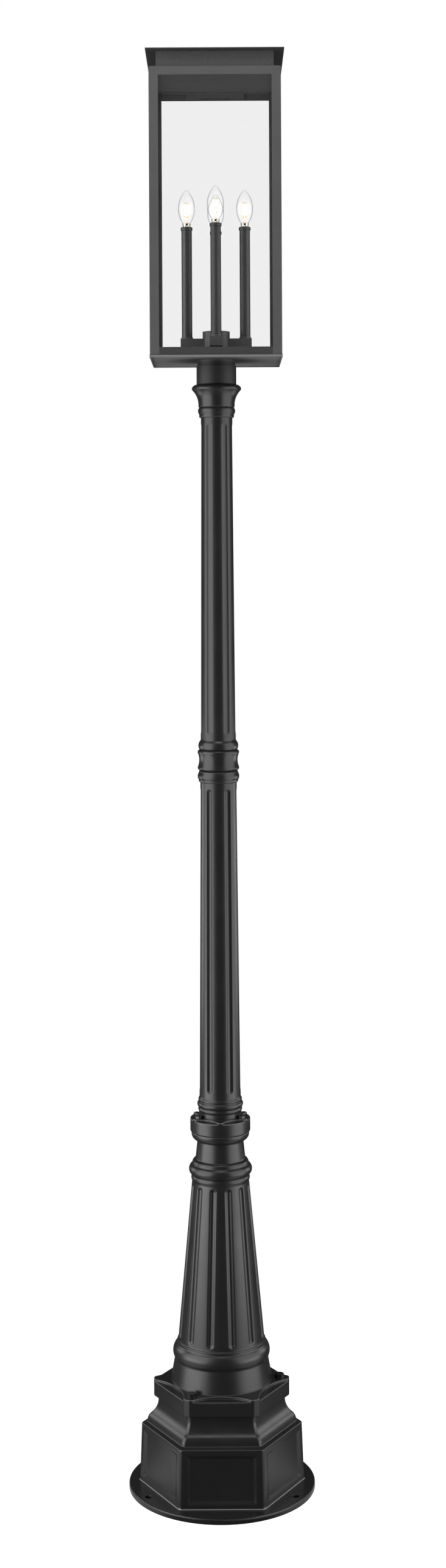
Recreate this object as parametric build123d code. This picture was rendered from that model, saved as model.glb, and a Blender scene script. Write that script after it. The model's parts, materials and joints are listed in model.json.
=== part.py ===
from build123d import *
from math import atan, cos, degrees, hypot, pi, radians, sin, sqrt
import os

# Outdoor post light: a cast pedestal, a fluted two-piece post and a glazed four-light lantern.
# Millimetres, +Z up. The origin is the centre of the base plate's underside, and -Y is the front.

# Clearances
free_gap = 0.3          # between pieces that turn or lift past each other
slip_gap = 0.1          # between a fixed piece and the hole or bore it slips into

# Base plate
plate_r = 194.5
plate_t = 11.0
plate_round = 3.0
cable_hole_r = 60.0
anchor_count = 3
anchor_circle_r = 175.0
anchor_hole_r = 7.0

# Hexagonal plinth, measured to its corners
block_low_r = 173.5
block_high_r = 169.2
block_h = 119.0
foot_flare = 2.5
ledge_h = 4.0
ogee_low_r = 158.0
ogee_high_r = 134.3
ogee_h = 53.0
ogee_lip_h = 8.0
ogee_convex_share = 0.4
plinth_corner_cut = 1.6
plinth_wall = 8.0
panel_w = 142.0
panel_h = 98.0
panel_low_border = 10.0
panel_bevel = 7.0
panel_sink = 3.5

# Hexagonal flange under the column
cap_r = 145.0
cap_h = 37.0
cap_corner_cut = 3.2
cap_chamfer = 2.5
cap_scallop_sink = 5.0
cap_scallop_pad = 5.0
scallop_land = 1.2

# Column
skirt_low_r = 106.0
skirt_high_r = 97.5
skirt_h = 47.0
foot_torus_r = 101.3
foot_torus_h = 31.0
foot_fillet_r = 92.6
foot_fillet_h = 6.0
column_low_r = 90.2
column_high_r = 59.7
column_h = 332.0
head_bead_r = 61.6
head_bead_h = 12.0
head_torus_r = 66.3
head_torus_h = 23.0
head_step_r = 59.0
head_step_h = 10.0
neck_low_r = 52.3
neck_high_r = 48.1
neck_h = 39.0
bowl_r = 60.5
bowl_h = 15.0
bowl_lip_h = 3.0
column_wall = 5.0
column_flute_count = 12
column_flute_w = 13.5
column_flute_depth = 4.0
column_flute_margin = 6.0

# Lower shaft
flange_r = 62.9
flange_h = 31.0
flange_chamfer = 2.0
flange_scallop_sink = 3.5
flange_scallop_pad = 5.0
foot_neck_r = 44.3
foot_neck_h = 12.0
low_bead_r = 46.3
low_bead_h = 8.0
foot_ring_r = 48.2
foot_ring_h = 13.0
high_bead_r = 45.8
high_bead_h = 8.0
lower_low_r = 43.3
lower_high_r = 38.2
lower_h = 660.0
step_ring_r = 41.3
step_ring_h = 4.5
joint_bead_r = 43.8
joint_bead_h = 14.5
thin_ring_r = 41.5
thin_ring_h = 3.5

# Shaft flutes and walls
shaft_flute_count = 6
shaft_flute_w = 14.0
shaft_flute_depth = 3.5
shaft_flute_margin = 13.0
shaft_wall = 3.0

# Coupling between the shafts
groove_r = 39.6
groove_h = 2.0
spool_lip_r = 43.6
spool_lip_h = 6.0
spool_waist_r = 40.3
spool_h = 43.0
spigot_reach = 60.0
spigot_bore_r = 20.0

# Upper shaft
upper_bead_r = 41.9
upper_bead_h = 20.0
upper_low_r = 36.9
upper_high_r = 33.0
upper_h = 676.0
head_ring_r = 36.6
head_ring_h = 7.0
crown_r = 39.2
crown_h = 14.0

# Bell capital and the tenon that carries the lantern
bell_low_r = 38.0
bell_collar_h = 7.0
bell_lip_r = 52.3
bell_flare_h = 31.0
bell_lip_h = 10.0
tenon_r = 38.1
tenon_h = 36.0
tenon_wall = 4.0
capital_plug_h = 40.0

# Lantern fitter
fitter_r = 41.7
fitter_h = 39.0
fitter_ring_r = 39.4
fitter_ring_h = 8.0
set_screw_count = 2
set_screw_turn = 15.0   # degrees from +X
set_screw_r = 2.5

# Lantern box
frame_w = 270.0
frame_h = 587.0
stile_w = 19.0
top_rail_h = 16.6
bottom_rail_h = 15.3
rail_shelf_w = 14.0
sheet_t = 2.0
pan_proud = 0.8
pan_lip_h = 5.3
glass_t = 3.0
glass_top_gap = 6.0
clip_w = 126.0
clip_tab_w = 32.0
clip_t = 1.2
clip_drop = 9.0
clip_tab_drop = 4.0

# Roof
lid_t = 1.5
lid_tab_w = 40.0
lid_tab_h = 5.0
roof_neck_inset = 14.5
roof_neck_h = 33.5
roof_overhang = 7.0
roof_edge_t = 2.0
roof_rise = 12.0

# Candle cluster
nipple_r = 5.0
nipple_bore_r = 3.5
nipple_overhang = 8.0
nut_flats = 17.0
nut_h = 5.0
hub_r = 28.5
hub_h = 50.5
hub_wall = 3.0
hub_cap_h = 8.0
hub_cap_plug_h = 3.0
arm_count = 4
arm_floor = 23.5
arm_h = 20.0
arm_w = 27.0
arm_wall = 2.0
arm_end_r = 74.5
candle_r_pos = 61.0
cup_r = 12.4
cup_h = 3.5
cup_floor = 1.5
sleeve_r = 11.0
sleeve_wall = 1.2
sleeve_h = 233.0
sleeve_rim_r = 12.4
sleeve_rim_h = 6.5
stem_r = 5.0
socket_r = 9.3
socket_h = 42.0
thread_depth = 18.0
contact_well = 16.0

# Bulb
cap_shell_r = 6.0
cap_shell_h = 15.0
cap_collar_r = 8.6
cap_collar_h = 8.0
contact_r = 3.5
contact_t = 1.5
contact_pin_r = 1.5
contact_pin_h = 14.0
glass_neck_r = 8.2
glass_belly_r = 17.5
glass_belly_h = 26.0
glass_h = 70.0
glass_tip_r = 5.0
glass_wall = 0.9
filament_count = 4
filament_r = 1.0
filament_h = 28.0
filament_circle_r = 5.0
filament_floor = 14.0
mount_r = 1.6
spider_t = 1.5
spider_rim = 0.6

# Hex bolts
plinth_bolt_r = 5.0
plinth_bolt_flats = 17.0
plinth_bolt_head_h = 6.5
plinth_bolt_reach = 22.0
plinth_bolt_count = 3
flange_bolt_r = 4.0
flange_bolt_flats = 13.0
flange_bolt_head_h = 5.5
flange_bolt_reach = 12.0
flange_bolt_count = 3
washer_share = 1.15     # washer face across, as a share of the head's flats
washer_t = 1.2
head_ease_share = 0.6   # how much of a hex head's corners its top chamfer takes

# Heights, stacked from the ground up
block_z = plate_t
ledge_z = block_z + block_h
ogee_z = ledge_z + ledge_h
cap_z = ogee_z + ogee_h
cap_top_z = cap_z + cap_h
torus_z = cap_top_z + skirt_h
fillet_z = torus_z + foot_torus_h
column_z = fillet_z + foot_fillet_h
column_top_z = column_z + column_h
head_torus_z = column_top_z + head_bead_h
head_step_z = head_torus_z + head_torus_h
neck_z = head_step_z + head_step_h
bowl_z = neck_z + neck_h
flange_z = bowl_z + bowl_h + bowl_lip_h
flange_top_z = flange_z + flange_h
low_bead_z = flange_top_z + foot_neck_h
foot_ring_z = low_bead_z + low_bead_h
high_bead_z = foot_ring_z + foot_ring_h
lower_z = high_bead_z + high_bead_h
lower_top_z = lower_z + lower_h
joint_bead_z = lower_top_z + step_ring_h
thin_ring_z = joint_bead_z + joint_bead_h
groove_z = thin_ring_z + thin_ring_h
spool_z = groove_z + groove_h
spool_top_z = spool_z + spool_h
upper_z = spool_top_z + upper_bead_h
upper_top_z = upper_z + upper_h
crown_z = upper_top_z + head_ring_h
bell_z = crown_z + crown_h
bell_flare_z = bell_z + bell_collar_h
bell_lip_z = bell_flare_z + bell_flare_h
bell_top_z = bell_lip_z + bell_lip_h
tenon_top_z = bell_top_z + tenon_h
fitter_ring_z = bell_top_z + free_gap + fitter_h
pan_z = fitter_ring_z + fitter_ring_h
pan_top_z = pan_z + pan_lip_h
frame_top_z = pan_top_z + frame_h
neck_base_z = frame_top_z + lid_t
roof_z = neck_base_z + roof_neck_h
arm_z = pan_top_z + arm_floor
arm_top_z = arm_z + arm_h
cup_seat_z = arm_top_z + cup_floor
sleeve_top_z = cup_seat_z + sleeve_h
glass_z = sleeve_top_z + cap_collar_h

# Radii and bores that follow from the sizes above
hex_share = cos(radians(30))
frame_half = frame_w / 2
roof_neck_w = frame_w - 2 * roof_neck_inset
roof_w = frame_w + 2 * roof_overhang
lower_bore_r = lower_high_r - shaft_flute_depth - shaft_wall
upper_bore_r = upper_high_r - shaft_flute_depth - shaft_wall
plinth_bore_r = ogee_high_r * hex_share - plinth_wall
neck_bore_r = neck_high_r - column_wall
fitter_bore_r = tenon_r + free_gap
plinth_bolt_circle_r = (plinth_bore_r + ogee_high_r) / 2
flange_bolt_circle_r = (neck_bore_r + bowl_r) / 2

UPRIGHT = (Align.CENTER, Align.CENTER, Align.MIN)


# Shapes that repeat

def profile(points):
    """Face in the XZ plane. A point is (x, z), or (x, z, bulge) where an arc leads up to it."""
    edges = []
    for start, end in zip(points, points[1:] + points[:1]):
        bulge = end[2] if len(end) == 3 else 0
        edge = SagittaArc(start[:2], end[:2], -bulge) if bulge else Line(start[:2], end[:2])
        edges.append(edge)
    return Plane.XZ * make_face(edges)


def turned(points):
    """Solid turned about Z from a profile of radius and height."""
    return revolve(profile(points), Axis.Z)


def rod(radius, low, high):
    return Pos(0, 0, low) * Cylinder(radius, high - low, align=UPRIGHT)


def ring(outer, inner, low, high):
    return rod(outer, low, high) - rod(inner, low, high)


def slab(low, high):
    """Box between two opposite corners."""
    size = [b - a for a, b in zip(low, high)]
    middle = [(a + b) / 2 for a, b in zip(low, high)]
    return Pos(*middle) * Box(*size)


def around(shape, count, start=0):
    """Copies of a shape, spread evenly about the Z axis."""
    return [Rot(0, 0, start + 360 / count * k) * shape for k in range(count)]


def bead(low_r, high_r, peak_r):
    """Bulge of an arc from one radius to another that swells to a peak radius."""
    return peak_r - (low_r + high_r) / 2


def quarter(across, along):
    """Bulge of the quarter round between two points that far apart."""
    return hypot(across, along) * (sqrt(2) - 1) / 2


def hexagonal(points, corner_cut):
    """Hexagonal moulding from a half profile measured to its flats, with its corners cut off."""
    reach = 2 * max(point[0] for point in points)

    def bar(half_profile, turn):
        half = profile(half_profile)
        full = half + mirror(half, Plane.YZ)
        return Rot(0, 0, turn) * extrude(full, reach, both=True)

    corners = [(0, points[0][1])]
    for x, z, *bulge in points[1:-1]:
        corners.append((x / hex_share - corner_cut, z, *bulge))
    corners.append((0, points[-1][1]))
    solid = bar(points, 30)
    for turn in (90, 150):
        solid = solid & bar(points, turn)
    for turn in (0, 60, 120):
        solid = solid & bar(corners, turn)
    return solid


def scallop(inner_r, chord_r, half_chord, low, high):
    """Round cutter whose arc runs inwards from a chord, pointing along X."""
    sagitta = chord_r - inner_r
    radius = (half_chord ** 2 + sagitta ** 2) / (2 * sagitta)
    return Pos(inner_r + radius, 0, 0) * rod(radius, low, high)


def flute(low_r, low_z, high_r, high_z, width, depth, margin):
    """Round-ended cutter for a flute along a tapered wall, on the X side."""
    ball = (width ** 2 / 4 + depth ** 2) / (2 * depth)
    slope = (low_r - high_r) / (high_z - low_z)
    start = margin + width / 2
    length = (high_z - low_z - 2 * start) * sqrt(1 + slope ** 2)
    dome = quarter(ball, ball)
    capsule = turned([(0, -ball), (ball, 0, dome), (ball, length), (0, length + ball, dome)])
    spot = Pos(low_r - slope * start + ball - depth, 0, low_z + start)
    return spot * Rot(0, -degrees(atan(slope)), 0) * capsule


def hexagon(flats, low, high):
    corner_r = flats / 2 / hex_share
    eased = (corner_r - flats / 2) * head_ease_share
    prism = Pos(0, 0, low) * extrude(RegularPolygon(corner_r, 6), high - low)
    round_off = [(0, low), (corner_r, low), (corner_r, high - eased), (flats / 2, high), (0, high)]
    return prism & turned(round_off)


def hex_bolt(radius, flats, head_h, reach):
    """Hex bolt with a washer face, standing on z = 0."""
    head = hexagon(flats, washer_t, washer_t + head_h)
    washer = rod(flats / 2 * washer_share, 0, washer_t)
    return head + washer + rod(radius, -reach, washer_t)


# Post

def make_base_plate():
    edge = quarter(plate_round, plate_round)
    top = plate_t - plate_round
    plate = turned([(0, 0), (plate_r, 0), (plate_r, top), (plate_r - plate_round, plate_t, edge), (0, plate_t)])
    plate -= rod(cable_hole_r, 0, plate_t)
    hole = Pos(anchor_circle_r, 0, 0) * rod(anchor_hole_r, 0, plate_t)
    return plate - around(hole, anchor_count, 90)


def ogee_points():
    """The S-curve of the plinth's shoulder: a round below runs into a hollow above."""
    rise = ogee_h - ogee_lip_h
    turn = 2 * atan((ogee_low_r - ogee_high_r) * hex_share / rise)
    radii = rise / sin(turn)
    round_r = radii * ogee_convex_share
    hollow_r = radii - round_r
    sweep = 1 - cos(turn / 2)
    low = ogee_low_r * hex_share
    middle = (low - round_r * (1 - cos(turn)), ogee_z + round_r * sin(turn), round_r * sweep)
    high = (ogee_high_r * hex_share, ogee_z + rise, -hollow_r * sweep)
    return [(low, ogee_z), middle, high, (ogee_high_r * hex_share, cap_z)]


def make_panel_cutter():
    """Sunk panel with bevelled sides, on the front face."""
    lean = atan((block_low_r - block_high_r) * hex_share / block_h)
    middle_z = block_z + panel_low_border + panel_h / 2
    share = (middle_z - block_z) / block_h
    face_y = (block_low_r + (block_high_r - block_low_r) * share) * hex_share
    face = Plane((0, -face_y, middle_z), x_dir=(1, 0, 0), z_dir=(0, -cos(lean), sin(lean)))
    floor = Rectangle(panel_w - 2 * panel_bevel, panel_h - 2 * panel_bevel)
    mouth = Rectangle(panel_w + 2 * panel_bevel, panel_h + 2 * panel_bevel)
    return loft([face.offset(-panel_sink) * floor, face.offset(panel_sink) * mouth], ruled=True)


def make_plinth():
    low = block_low_r * hex_share
    high = block_high_r * hex_share
    foot = (low + foot_flare, block_z)
    outline = [(0, block_z), foot, (low, block_z + foot_flare), (high, ledge_z)]
    solid = hexagonal(outline + ogee_points() + [(0, cap_z)], plinth_corner_cut)
    solid -= around(make_panel_cutter(), 6)
    hollow = [(0, block_z), (low - plinth_wall, block_z), (high - plinth_wall, ledge_z - plinth_wall)]
    solid -= hexagonal(hollow + [(0, ledge_z - plinth_wall)], plinth_corner_cut)
    solid -= rod(plinth_bore_r, block_z, cap_z)
    thread = Pos(plinth_bolt_circle_r, 0, 0) * rod(plinth_bolt_r + slip_gap, ogee_z, cap_z)
    return solid - around(thread, plinth_bolt_count, 0)


def make_plinth_bolts():
    reach = cap_h + plinth_bolt_reach
    bolt = hex_bolt(plinth_bolt_r, plinth_bolt_flats, plinth_bolt_head_h, reach)
    return around(Pos(plinth_bolt_circle_r, 0, cap_top_z) * bolt, plinth_bolt_count, 0)


def make_hex_flange():
    flat = cap_r * hex_share
    side = [(0, cap_z), (flat - cap_chamfer, cap_z), (flat, cap_z + cap_chamfer)]
    solid = hexagonal(side + [(flat, cap_top_z), (0, cap_top_z)], cap_corner_cut)
    half_chord = cap_r / 2 - cap_corner_cut * 2 - cap_scallop_pad
    cutter = scallop(skirt_low_r + scallop_land, flat, half_chord, cap_top_z - cap_scallop_sink, cap_top_z)
    return solid - around(cutter, 6, 30)


def make_column():
    torus = bead(skirt_high_r, foot_fillet_r, foot_torus_r)
    head_bulge = head_bead_r - column_high_r
    head_torus = bead(column_high_r, head_step_r, head_torus_r)
    shoulder = quarter(head_step_r - neck_low_r, head_step_h)
    bowl = quarter(bowl_r - neck_high_r, bowl_h)
    body = turned([
        (0, cap_top_z), (skirt_low_r, cap_top_z), (skirt_high_r, torus_z),
        (foot_fillet_r, fillet_z, torus), (foot_fillet_r, column_z), (column_low_r, column_z),
        (column_high_r, column_top_z), (column_high_r, head_torus_z, head_bulge),
        (head_step_r, head_step_z, head_torus), (neck_low_r, neck_z, shoulder), (neck_high_r, bowl_z),
        (bowl_r, bowl_z + bowl_h, bowl), (bowl_r, flange_z), (0, flange_z)])
    cutter = flute(column_low_r, column_z, column_high_r, column_top_z,
                   column_flute_w, column_flute_depth, column_flute_margin)
    body -= around(cutter, column_flute_count, 15)
    skin = column_wall + column_flute_depth
    hollow = turned([
        (0, cap_z), (column_low_r - skin, cap_z), (column_low_r - skin, column_z),
        (column_high_r - skin, column_top_z), (neck_bore_r, neck_z), (neck_bore_r, flange_z),
        (0, flange_z)])
    solid = make_hex_flange() + body - hollow
    hole = Pos(plinth_bolt_circle_r, 0, 0) * rod(plinth_bolt_r + slip_gap, cap_z, cap_top_z)
    thread = Pos(flange_bolt_circle_r, 0, 0) * rod(flange_bolt_r + slip_gap, bowl_z, flange_z)
    return solid - around(hole, plinth_bolt_count, 0) - around(thread, flange_bolt_count, 90)


def shaft_flutes(low_r, low_z, high_r, high_z):
    cutter = flute(low_r, low_z, high_r, high_z, shaft_flute_w, shaft_flute_depth, shaft_flute_margin)
    return around(cutter, shaft_flute_count, 0)


def make_lower_shaft():
    step_bead = bead(step_ring_r, thin_ring_r, joint_bead_r)
    solid = turned([
        (0, flange_z), (flange_r - flange_chamfer, flange_z), (flange_r, flange_z + flange_chamfer),
        (flange_r, flange_top_z), (foot_neck_r, flange_top_z), (foot_neck_r, low_bead_z),
        (foot_neck_r, foot_ring_z, low_bead_r - foot_neck_r),
        (foot_neck_r, high_bead_z, foot_ring_r - foot_neck_r),
        (lower_low_r, lower_z, bead(foot_neck_r, lower_low_r, high_bead_r)),
        (lower_high_r, lower_top_z), (step_ring_r, lower_top_z), (step_ring_r, joint_bead_z),
        (thin_ring_r, thin_ring_z, step_bead), (thin_ring_r, groove_z), (0, groove_z)])
    solid -= shaft_flutes(lower_low_r, lower_z, lower_high_r, lower_top_z)
    turn = radians(30) - flange_scallop_pad / flange_r
    cutter = scallop(foot_neck_r + scallop_land, flange_r * cos(turn), flange_r * sin(turn),
                     flange_top_z - flange_scallop_sink, flange_top_z)
    solid -= around(cutter, 6, 0)
    hole = Pos(flange_bolt_circle_r, 0, 0) * rod(flange_bolt_r + slip_gap, flange_z, flange_top_z)
    solid -= around(hole, flange_bolt_count, 90)
    return solid - rod(lower_bore_r, flange_z, groove_z)


def make_flange_bolts():
    reach = flange_h + flange_bolt_reach
    bolt = hex_bolt(flange_bolt_r, flange_bolt_flats, flange_bolt_head_h, reach)
    return around(Pos(flange_bolt_circle_r, 0, flange_top_z) * bolt, flange_bolt_count, 90)


def make_coupling_collar():
    lip = spool_lip_r - groove_r
    low_waist = spool_z + spool_lip_h
    high_waist = spool_top_z - spool_lip_h
    waist = spool_waist_r - spool_lip_r
    solid = turned([
        (0, groove_z), (groove_r, groove_z), (groove_r, spool_z),
        (spool_lip_r, low_waist, quarter(lip, spool_lip_h)), (spool_lip_r, high_waist, waist),
        (groove_r, spool_top_z, quarter(lip, spool_lip_h)), (0, spool_top_z)])
    return solid - rod(lower_bore_r, groove_z, spool_top_z)


def make_joint_spigot():
    low = groove_z - spigot_reach
    high = spool_top_z + spigot_reach
    wide = rod(lower_bore_r - slip_gap, low, spool_top_z)
    slim = rod(upper_bore_r - slip_gap, spool_top_z, high)
    return wide + slim - rod(spigot_bore_r, low, high)


def make_upper_shaft():
    solid = turned([
        (0, spool_top_z), (groove_r, spool_top_z),
        (upper_low_r, upper_z, bead(groove_r, upper_low_r, upper_bead_r)),
        (upper_high_r, upper_top_z), (head_ring_r, upper_top_z), (head_ring_r, crown_z),
        (head_ring_r, bell_z, crown_r - head_ring_r), (0, bell_z)])
    solid -= shaft_flutes(upper_low_r, upper_z, upper_high_r, upper_top_z)
    return solid - rod(upper_bore_r, spool_top_z, bell_z)


def make_capital():
    lip = quarter(bell_lip_r - fitter_r, bell_lip_h)
    hollow = -quarter(bell_lip_r - bell_low_r, bell_flare_h) / 2
    bell = turned([
        (0, bell_z), (bell_low_r, bell_z), (bell_low_r, bell_flare_z), (bell_lip_r, bell_lip_z, hollow),
        (fitter_r, bell_top_z, lip), (0, bell_top_z)])
    plug = rod(upper_bore_r - slip_gap, bell_z - capital_plug_h, bell_z)
    solid = bell + plug + rod(tenon_r, bell_top_z, tenon_top_z)
    solid -= rod(spigot_bore_r, bell_z - capital_plug_h, bell_top_z)
    return solid - rod(tenon_r - tenon_wall, bell_lip_z, tenon_top_z)


# Lantern

def make_fitter_collar():
    low = bell_top_z + free_gap
    solid = rod(fitter_r, low, fitter_ring_z) + rod(fitter_ring_r, fitter_ring_z, pan_z)
    solid -= rod(fitter_bore_r, low, tenon_top_z + free_gap)
    solid -= rod(nipple_r + slip_gap, low, pan_z)
    return solid - around(set_screw(set_screw_r + slip_gap), set_screw_count, set_screw_turn)


def set_screw(radius):
    """Grub screw lying along X, through the collar's wall."""
    height = bell_top_z + fitter_h / 2
    blank = Pos(0, 0, height) * Rot(0, 90, 0) * rod(radius, fitter_bore_r, fitter_r + free_gap)
    return blank & rod(fitter_r, height - radius, height + radius)


def make_set_screws():
    return around(set_screw(set_screw_r), set_screw_count, set_screw_turn)


def square(width, low, high):
    return Pos(0, 0, low) * Box(width, width, high - low, align=UPRIGHT)


def make_floor_pan():
    width = frame_w + 2 * pan_proud
    solid = square(width, pan_z, pan_top_z)
    solid -= square(width - 2 * sheet_t, pan_z, pan_top_z - sheet_t)
    seat = rod(fitter_ring_r, pan_z, pan_top_z)
    return solid + seat - rod(nipple_r + slip_gap, pan_z, pan_top_z)


def make_corner_post():
    """Angle-section post at the corner on the side of -X and -Y."""
    corner = -frame_half
    across = slab((corner, corner, pan_top_z), (corner + stile_w, corner + sheet_t, frame_top_z))
    along = slab((corner, corner, pan_top_z), (corner + sheet_t, corner + stile_w, frame_top_z))
    return across + along


def make_rail(wall_low, wall_high, shelf_low):
    """Angle-section rail between two posts, on the front side."""
    reach = frame_half - stile_w
    wall = slab((-reach, -frame_half, wall_low), (reach, sheet_t - frame_half, wall_high))
    shelf = slab((-reach, -frame_half, shelf_low), (reach, rail_shelf_w - frame_half, shelf_low + sheet_t))
    return wall + shelf


def make_bottom_rails():
    return around(make_rail(pan_top_z, pan_top_z + bottom_rail_h, pan_top_z), 4)


def make_top_rails():
    return around(make_rail(frame_top_z - top_rail_h, frame_top_z, frame_top_z - sheet_t), 4)


def make_pane(half_width):
    """Pane on the front side, standing on the bottom rail's shelf."""
    outer_y = frame_half - sheet_t - slip_gap
    low = (-half_width, -outer_y, pan_top_z + sheet_t)
    high = (half_width, glass_t - outer_y, frame_top_z - glass_top_gap)
    return slab(low, high)


def make_panes():
    wide = frame_half - sheet_t - slip_gap
    narrow = wide - glass_t - slip_gap
    return {
        "glass_front": make_pane(narrow),
        "glass_rear": Rot(0, 0, 180) * make_pane(narrow),
        "glass_left": Rot(0, 0, -90) * make_pane(wide),
        "glass_right": Rot(0, 0, 90) * make_pane(wide),
    }


def make_glass_clip():
    """Bent strip under the top rail's shelf that holds the front pane's upper edge."""
    face_y = sheet_t + 2 * slip_gap + glass_t - frame_half
    shelf_y = rail_shelf_w - frame_half
    top = frame_top_z - sheet_t
    strip_low = top - clip_drop
    flange = slab((-clip_w / 2, face_y, top - clip_t), (clip_w / 2, shelf_y, top))
    strip = slab((-clip_w / 2, face_y, strip_low), (clip_w / 2, face_y + clip_t, top))
    tab_x = clip_w / 2 - clip_tab_w
    tab = slab((tab_x, face_y, strip_low - clip_tab_drop), (clip_w / 2, face_y + clip_t, strip_low))
    return flange + strip + tab + mirror(tab, Plane.YZ)


# Roof

def make_lid_plate():
    plate = square(frame_w - 2 * sheet_t, frame_top_z, neck_base_z)
    tab_y = frame_half - rail_shelf_w - free_gap
    tab = slab((-lid_tab_w / 2, -tab_y, frame_top_z - lid_tab_h), (lid_tab_w / 2, lid_t - tab_y, neck_base_z))
    return plate + around(tab, 4)


def make_roof_neck():
    return square(roof_neck_w, neck_base_z, roof_z) - square(roof_neck_w - 2 * lid_t, neck_base_z, roof_z)


def make_roof_plate():
    edge = square(roof_w, roof_z, roof_z + roof_edge_t)
    base = Pos(0, 0, roof_z + roof_edge_t) * Rectangle(roof_w, roof_w)
    peak = Pos(0, 0, roof_z + roof_edge_t + roof_rise) * Rectangle(roof_rise, roof_rise)
    hip = loft([base, peak], ruled=True)
    inner_w = roof_neck_w - 2 * lid_t
    inner = Pos(0, 0, roof_z) * Rectangle(inner_w, inner_w)
    inner_peak = Pos(0, 0, roof_z + roof_rise) * Rectangle(lid_t, lid_t)
    return edge + hip - loft([inner, inner_peak], ruled=True)


# Candle cluster

def make_nipple():
    low = fitter_ring_z - nipple_overhang
    high = pan_top_z + hub_wall + nipple_overhang
    return ring(nipple_r, nipple_bore_r, low, high)


def make_nipple_nuts():
    fitter_ceiling = tenon_top_z + free_gap
    low = hexagon(nut_flats, fitter_ceiling - nut_h, fitter_ceiling)
    floor = pan_top_z + hub_wall
    high = hexagon(nut_flats, floor, floor + nut_h)
    bore = rod(nipple_r + slip_gap, fitter_ceiling - nut_h, floor + nut_h)
    return [low - bore, high - bore]


def make_hub():
    high = pan_top_z + hub_h
    solid = rod(hub_r, pan_top_z, high) - rod(hub_r - hub_wall, pan_top_z + hub_wall, high)
    solid -= rod(nipple_r + slip_gap, pan_top_z, high)
    way = Pos(0, 0, arm_z + arm_h / 2) * Rot(0, 90, 0) * rod(nipple_r, 0, hub_r)
    return solid - around(way, arm_count, 90)


def make_hub_cap():
    low = pan_top_z + hub_h
    plug = rod(hub_r - hub_wall - slip_gap, low - hub_cap_plug_h, low)
    return rod(hub_r, low, low + hub_cap_h) + plug


def make_arm():
    """Hollow arm along X, closed at its outer end and open to the hub."""
    tube = slab((0, -arm_w / 2, arm_z), (arm_end_r, arm_w / 2, arm_top_z))
    half = arm_w / 2 - arm_wall
    way = slab((0, -half, arm_z + arm_wall), (arm_end_r - arm_wall, half, arm_top_z - arm_wall))
    hole = Pos(candle_r_pos, 0, 0) * rod(stem_r + slip_gap, arm_top_z - arm_wall, arm_top_z)
    return tube - way - hole - rod(hub_r, arm_z, arm_top_z)


def at_candle(shape):
    return Pos(candle_r_pos, 0, 0) * shape


def make_cup():
    dish = rod(cup_r, arm_top_z, arm_top_z + cup_h) - rod(sleeve_r + slip_gap, cup_seat_z, arm_top_z + cup_h)
    return at_candle(dish - rod(stem_r + slip_gap, arm_top_z, cup_seat_z))


def make_sleeve():
    rim_z = sleeve_top_z - sleeve_rim_h
    edge = quarter(sleeve_rim_r - sleeve_r, sleeve_rim_r - sleeve_r)
    shoulder = sleeve_top_z - (sleeve_rim_r - sleeve_r)
    tube = turned([
        (0, cup_seat_z), (sleeve_r, cup_seat_z), (sleeve_r, rim_z), (sleeve_rim_r, rim_z),
        (sleeve_rim_r, shoulder), (sleeve_r, sleeve_top_z, edge), (0, sleeve_top_z)])
    return at_candle(tube - rod(sleeve_r - sleeve_wall, cup_seat_z, sleeve_top_z))


def make_lampholder():
    """Threaded stem from the arm up to a socket just under the sleeve's rim."""
    top = sleeve_top_z - free_gap
    low = top - socket_h
    solid = rod(socket_r, low, top) + rod(stem_r, arm_top_z - arm_wall, low)
    solid -= rod(cap_shell_r + free_gap, top - thread_depth, top)
    return at_candle(solid - rod(contact_pin_r + slip_gap, top - thread_depth - contact_well, top))


def make_contact():
    top = sleeve_top_z - cap_shell_h
    disc = rod(contact_r, top - contact_t, top)
    return at_candle(disc + rod(contact_pin_r, top - contact_t - contact_pin_h, top))


def make_bulb_cap():
    """Screw shell with a stepped collar that shows above the sleeve."""
    low = sleeve_top_z - cap_shell_h
    shell = rod(cap_shell_r, low, sleeve_top_z) + rod(cap_collar_r, sleeve_top_z, glass_z)
    return at_candle(shell)


def bulb_form(shrink):
    """Candle-shaped solid of revolution, drawn in from the glass's outside by a wall thickness."""
    belly_r = glass_belly_r - shrink
    tip_r = glass_tip_r - shrink
    neck_r = glass_neck_r - shrink
    rise = glass_h - glass_tip_r - glass_belly_h
    flank_r = (belly_r ** 2 + rise ** 2 - tip_r ** 2) / (2 * (belly_r - tip_r))
    flank_turn = atan(rise / (flank_r - belly_r))
    tip_end = (tip_r * cos(flank_turn), glass_h - glass_tip_r + tip_r * sin(flank_turn))
    base_r = ((belly_r - neck_r) ** 2 + glass_belly_h ** 2) / (2 * (belly_r - neck_r))
    base_turn = atan(glass_belly_h / (base_r - belly_r + neck_r))
    belly = (belly_r, glass_belly_h, base_r * (1 - cos(base_turn / 2)))
    flank = (*tip_end, flank_r * (1 - cos(flank_turn / 2)))
    peak = (0, glass_h - shrink, tip_r * (1 - cos((pi / 2 - flank_turn) / 2)))
    return turned([(0, 0), (neck_r, 0), belly, flank, peak])


def make_bulb_glass():
    shell = bulb_form(0) - bulb_form(glass_wall)
    return at_candle(Pos(0, 0, glass_z) * shell)


def make_bulb_mount():
    """Stem with a spider at each end of its upright filaments."""
    low = glass_z + filament_floor
    high = low + filament_h
    stem = rod(mount_r, glass_z, high)
    spider_r = filament_circle_r + filament_r + spider_rim
    spider = rod(spider_r, low - spider_t, low)
    filament = Pos(filament_circle_r, 0, 0) * rod(filament_r, low, high)
    top = rod(spider_r, high, high + spider_t)
    return at_candle(stem + spider + top + around(filament, filament_count, 45))


# Write every piece to its own file

def save(name, shape):
    if isinstance(shape, list):
        shape = Compound(children=[solid for piece in shape for solid in piece.solids()])
    export_step(shape, f"parts/{name}.step")


os.makedirs("parts", exist_ok=True)

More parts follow.
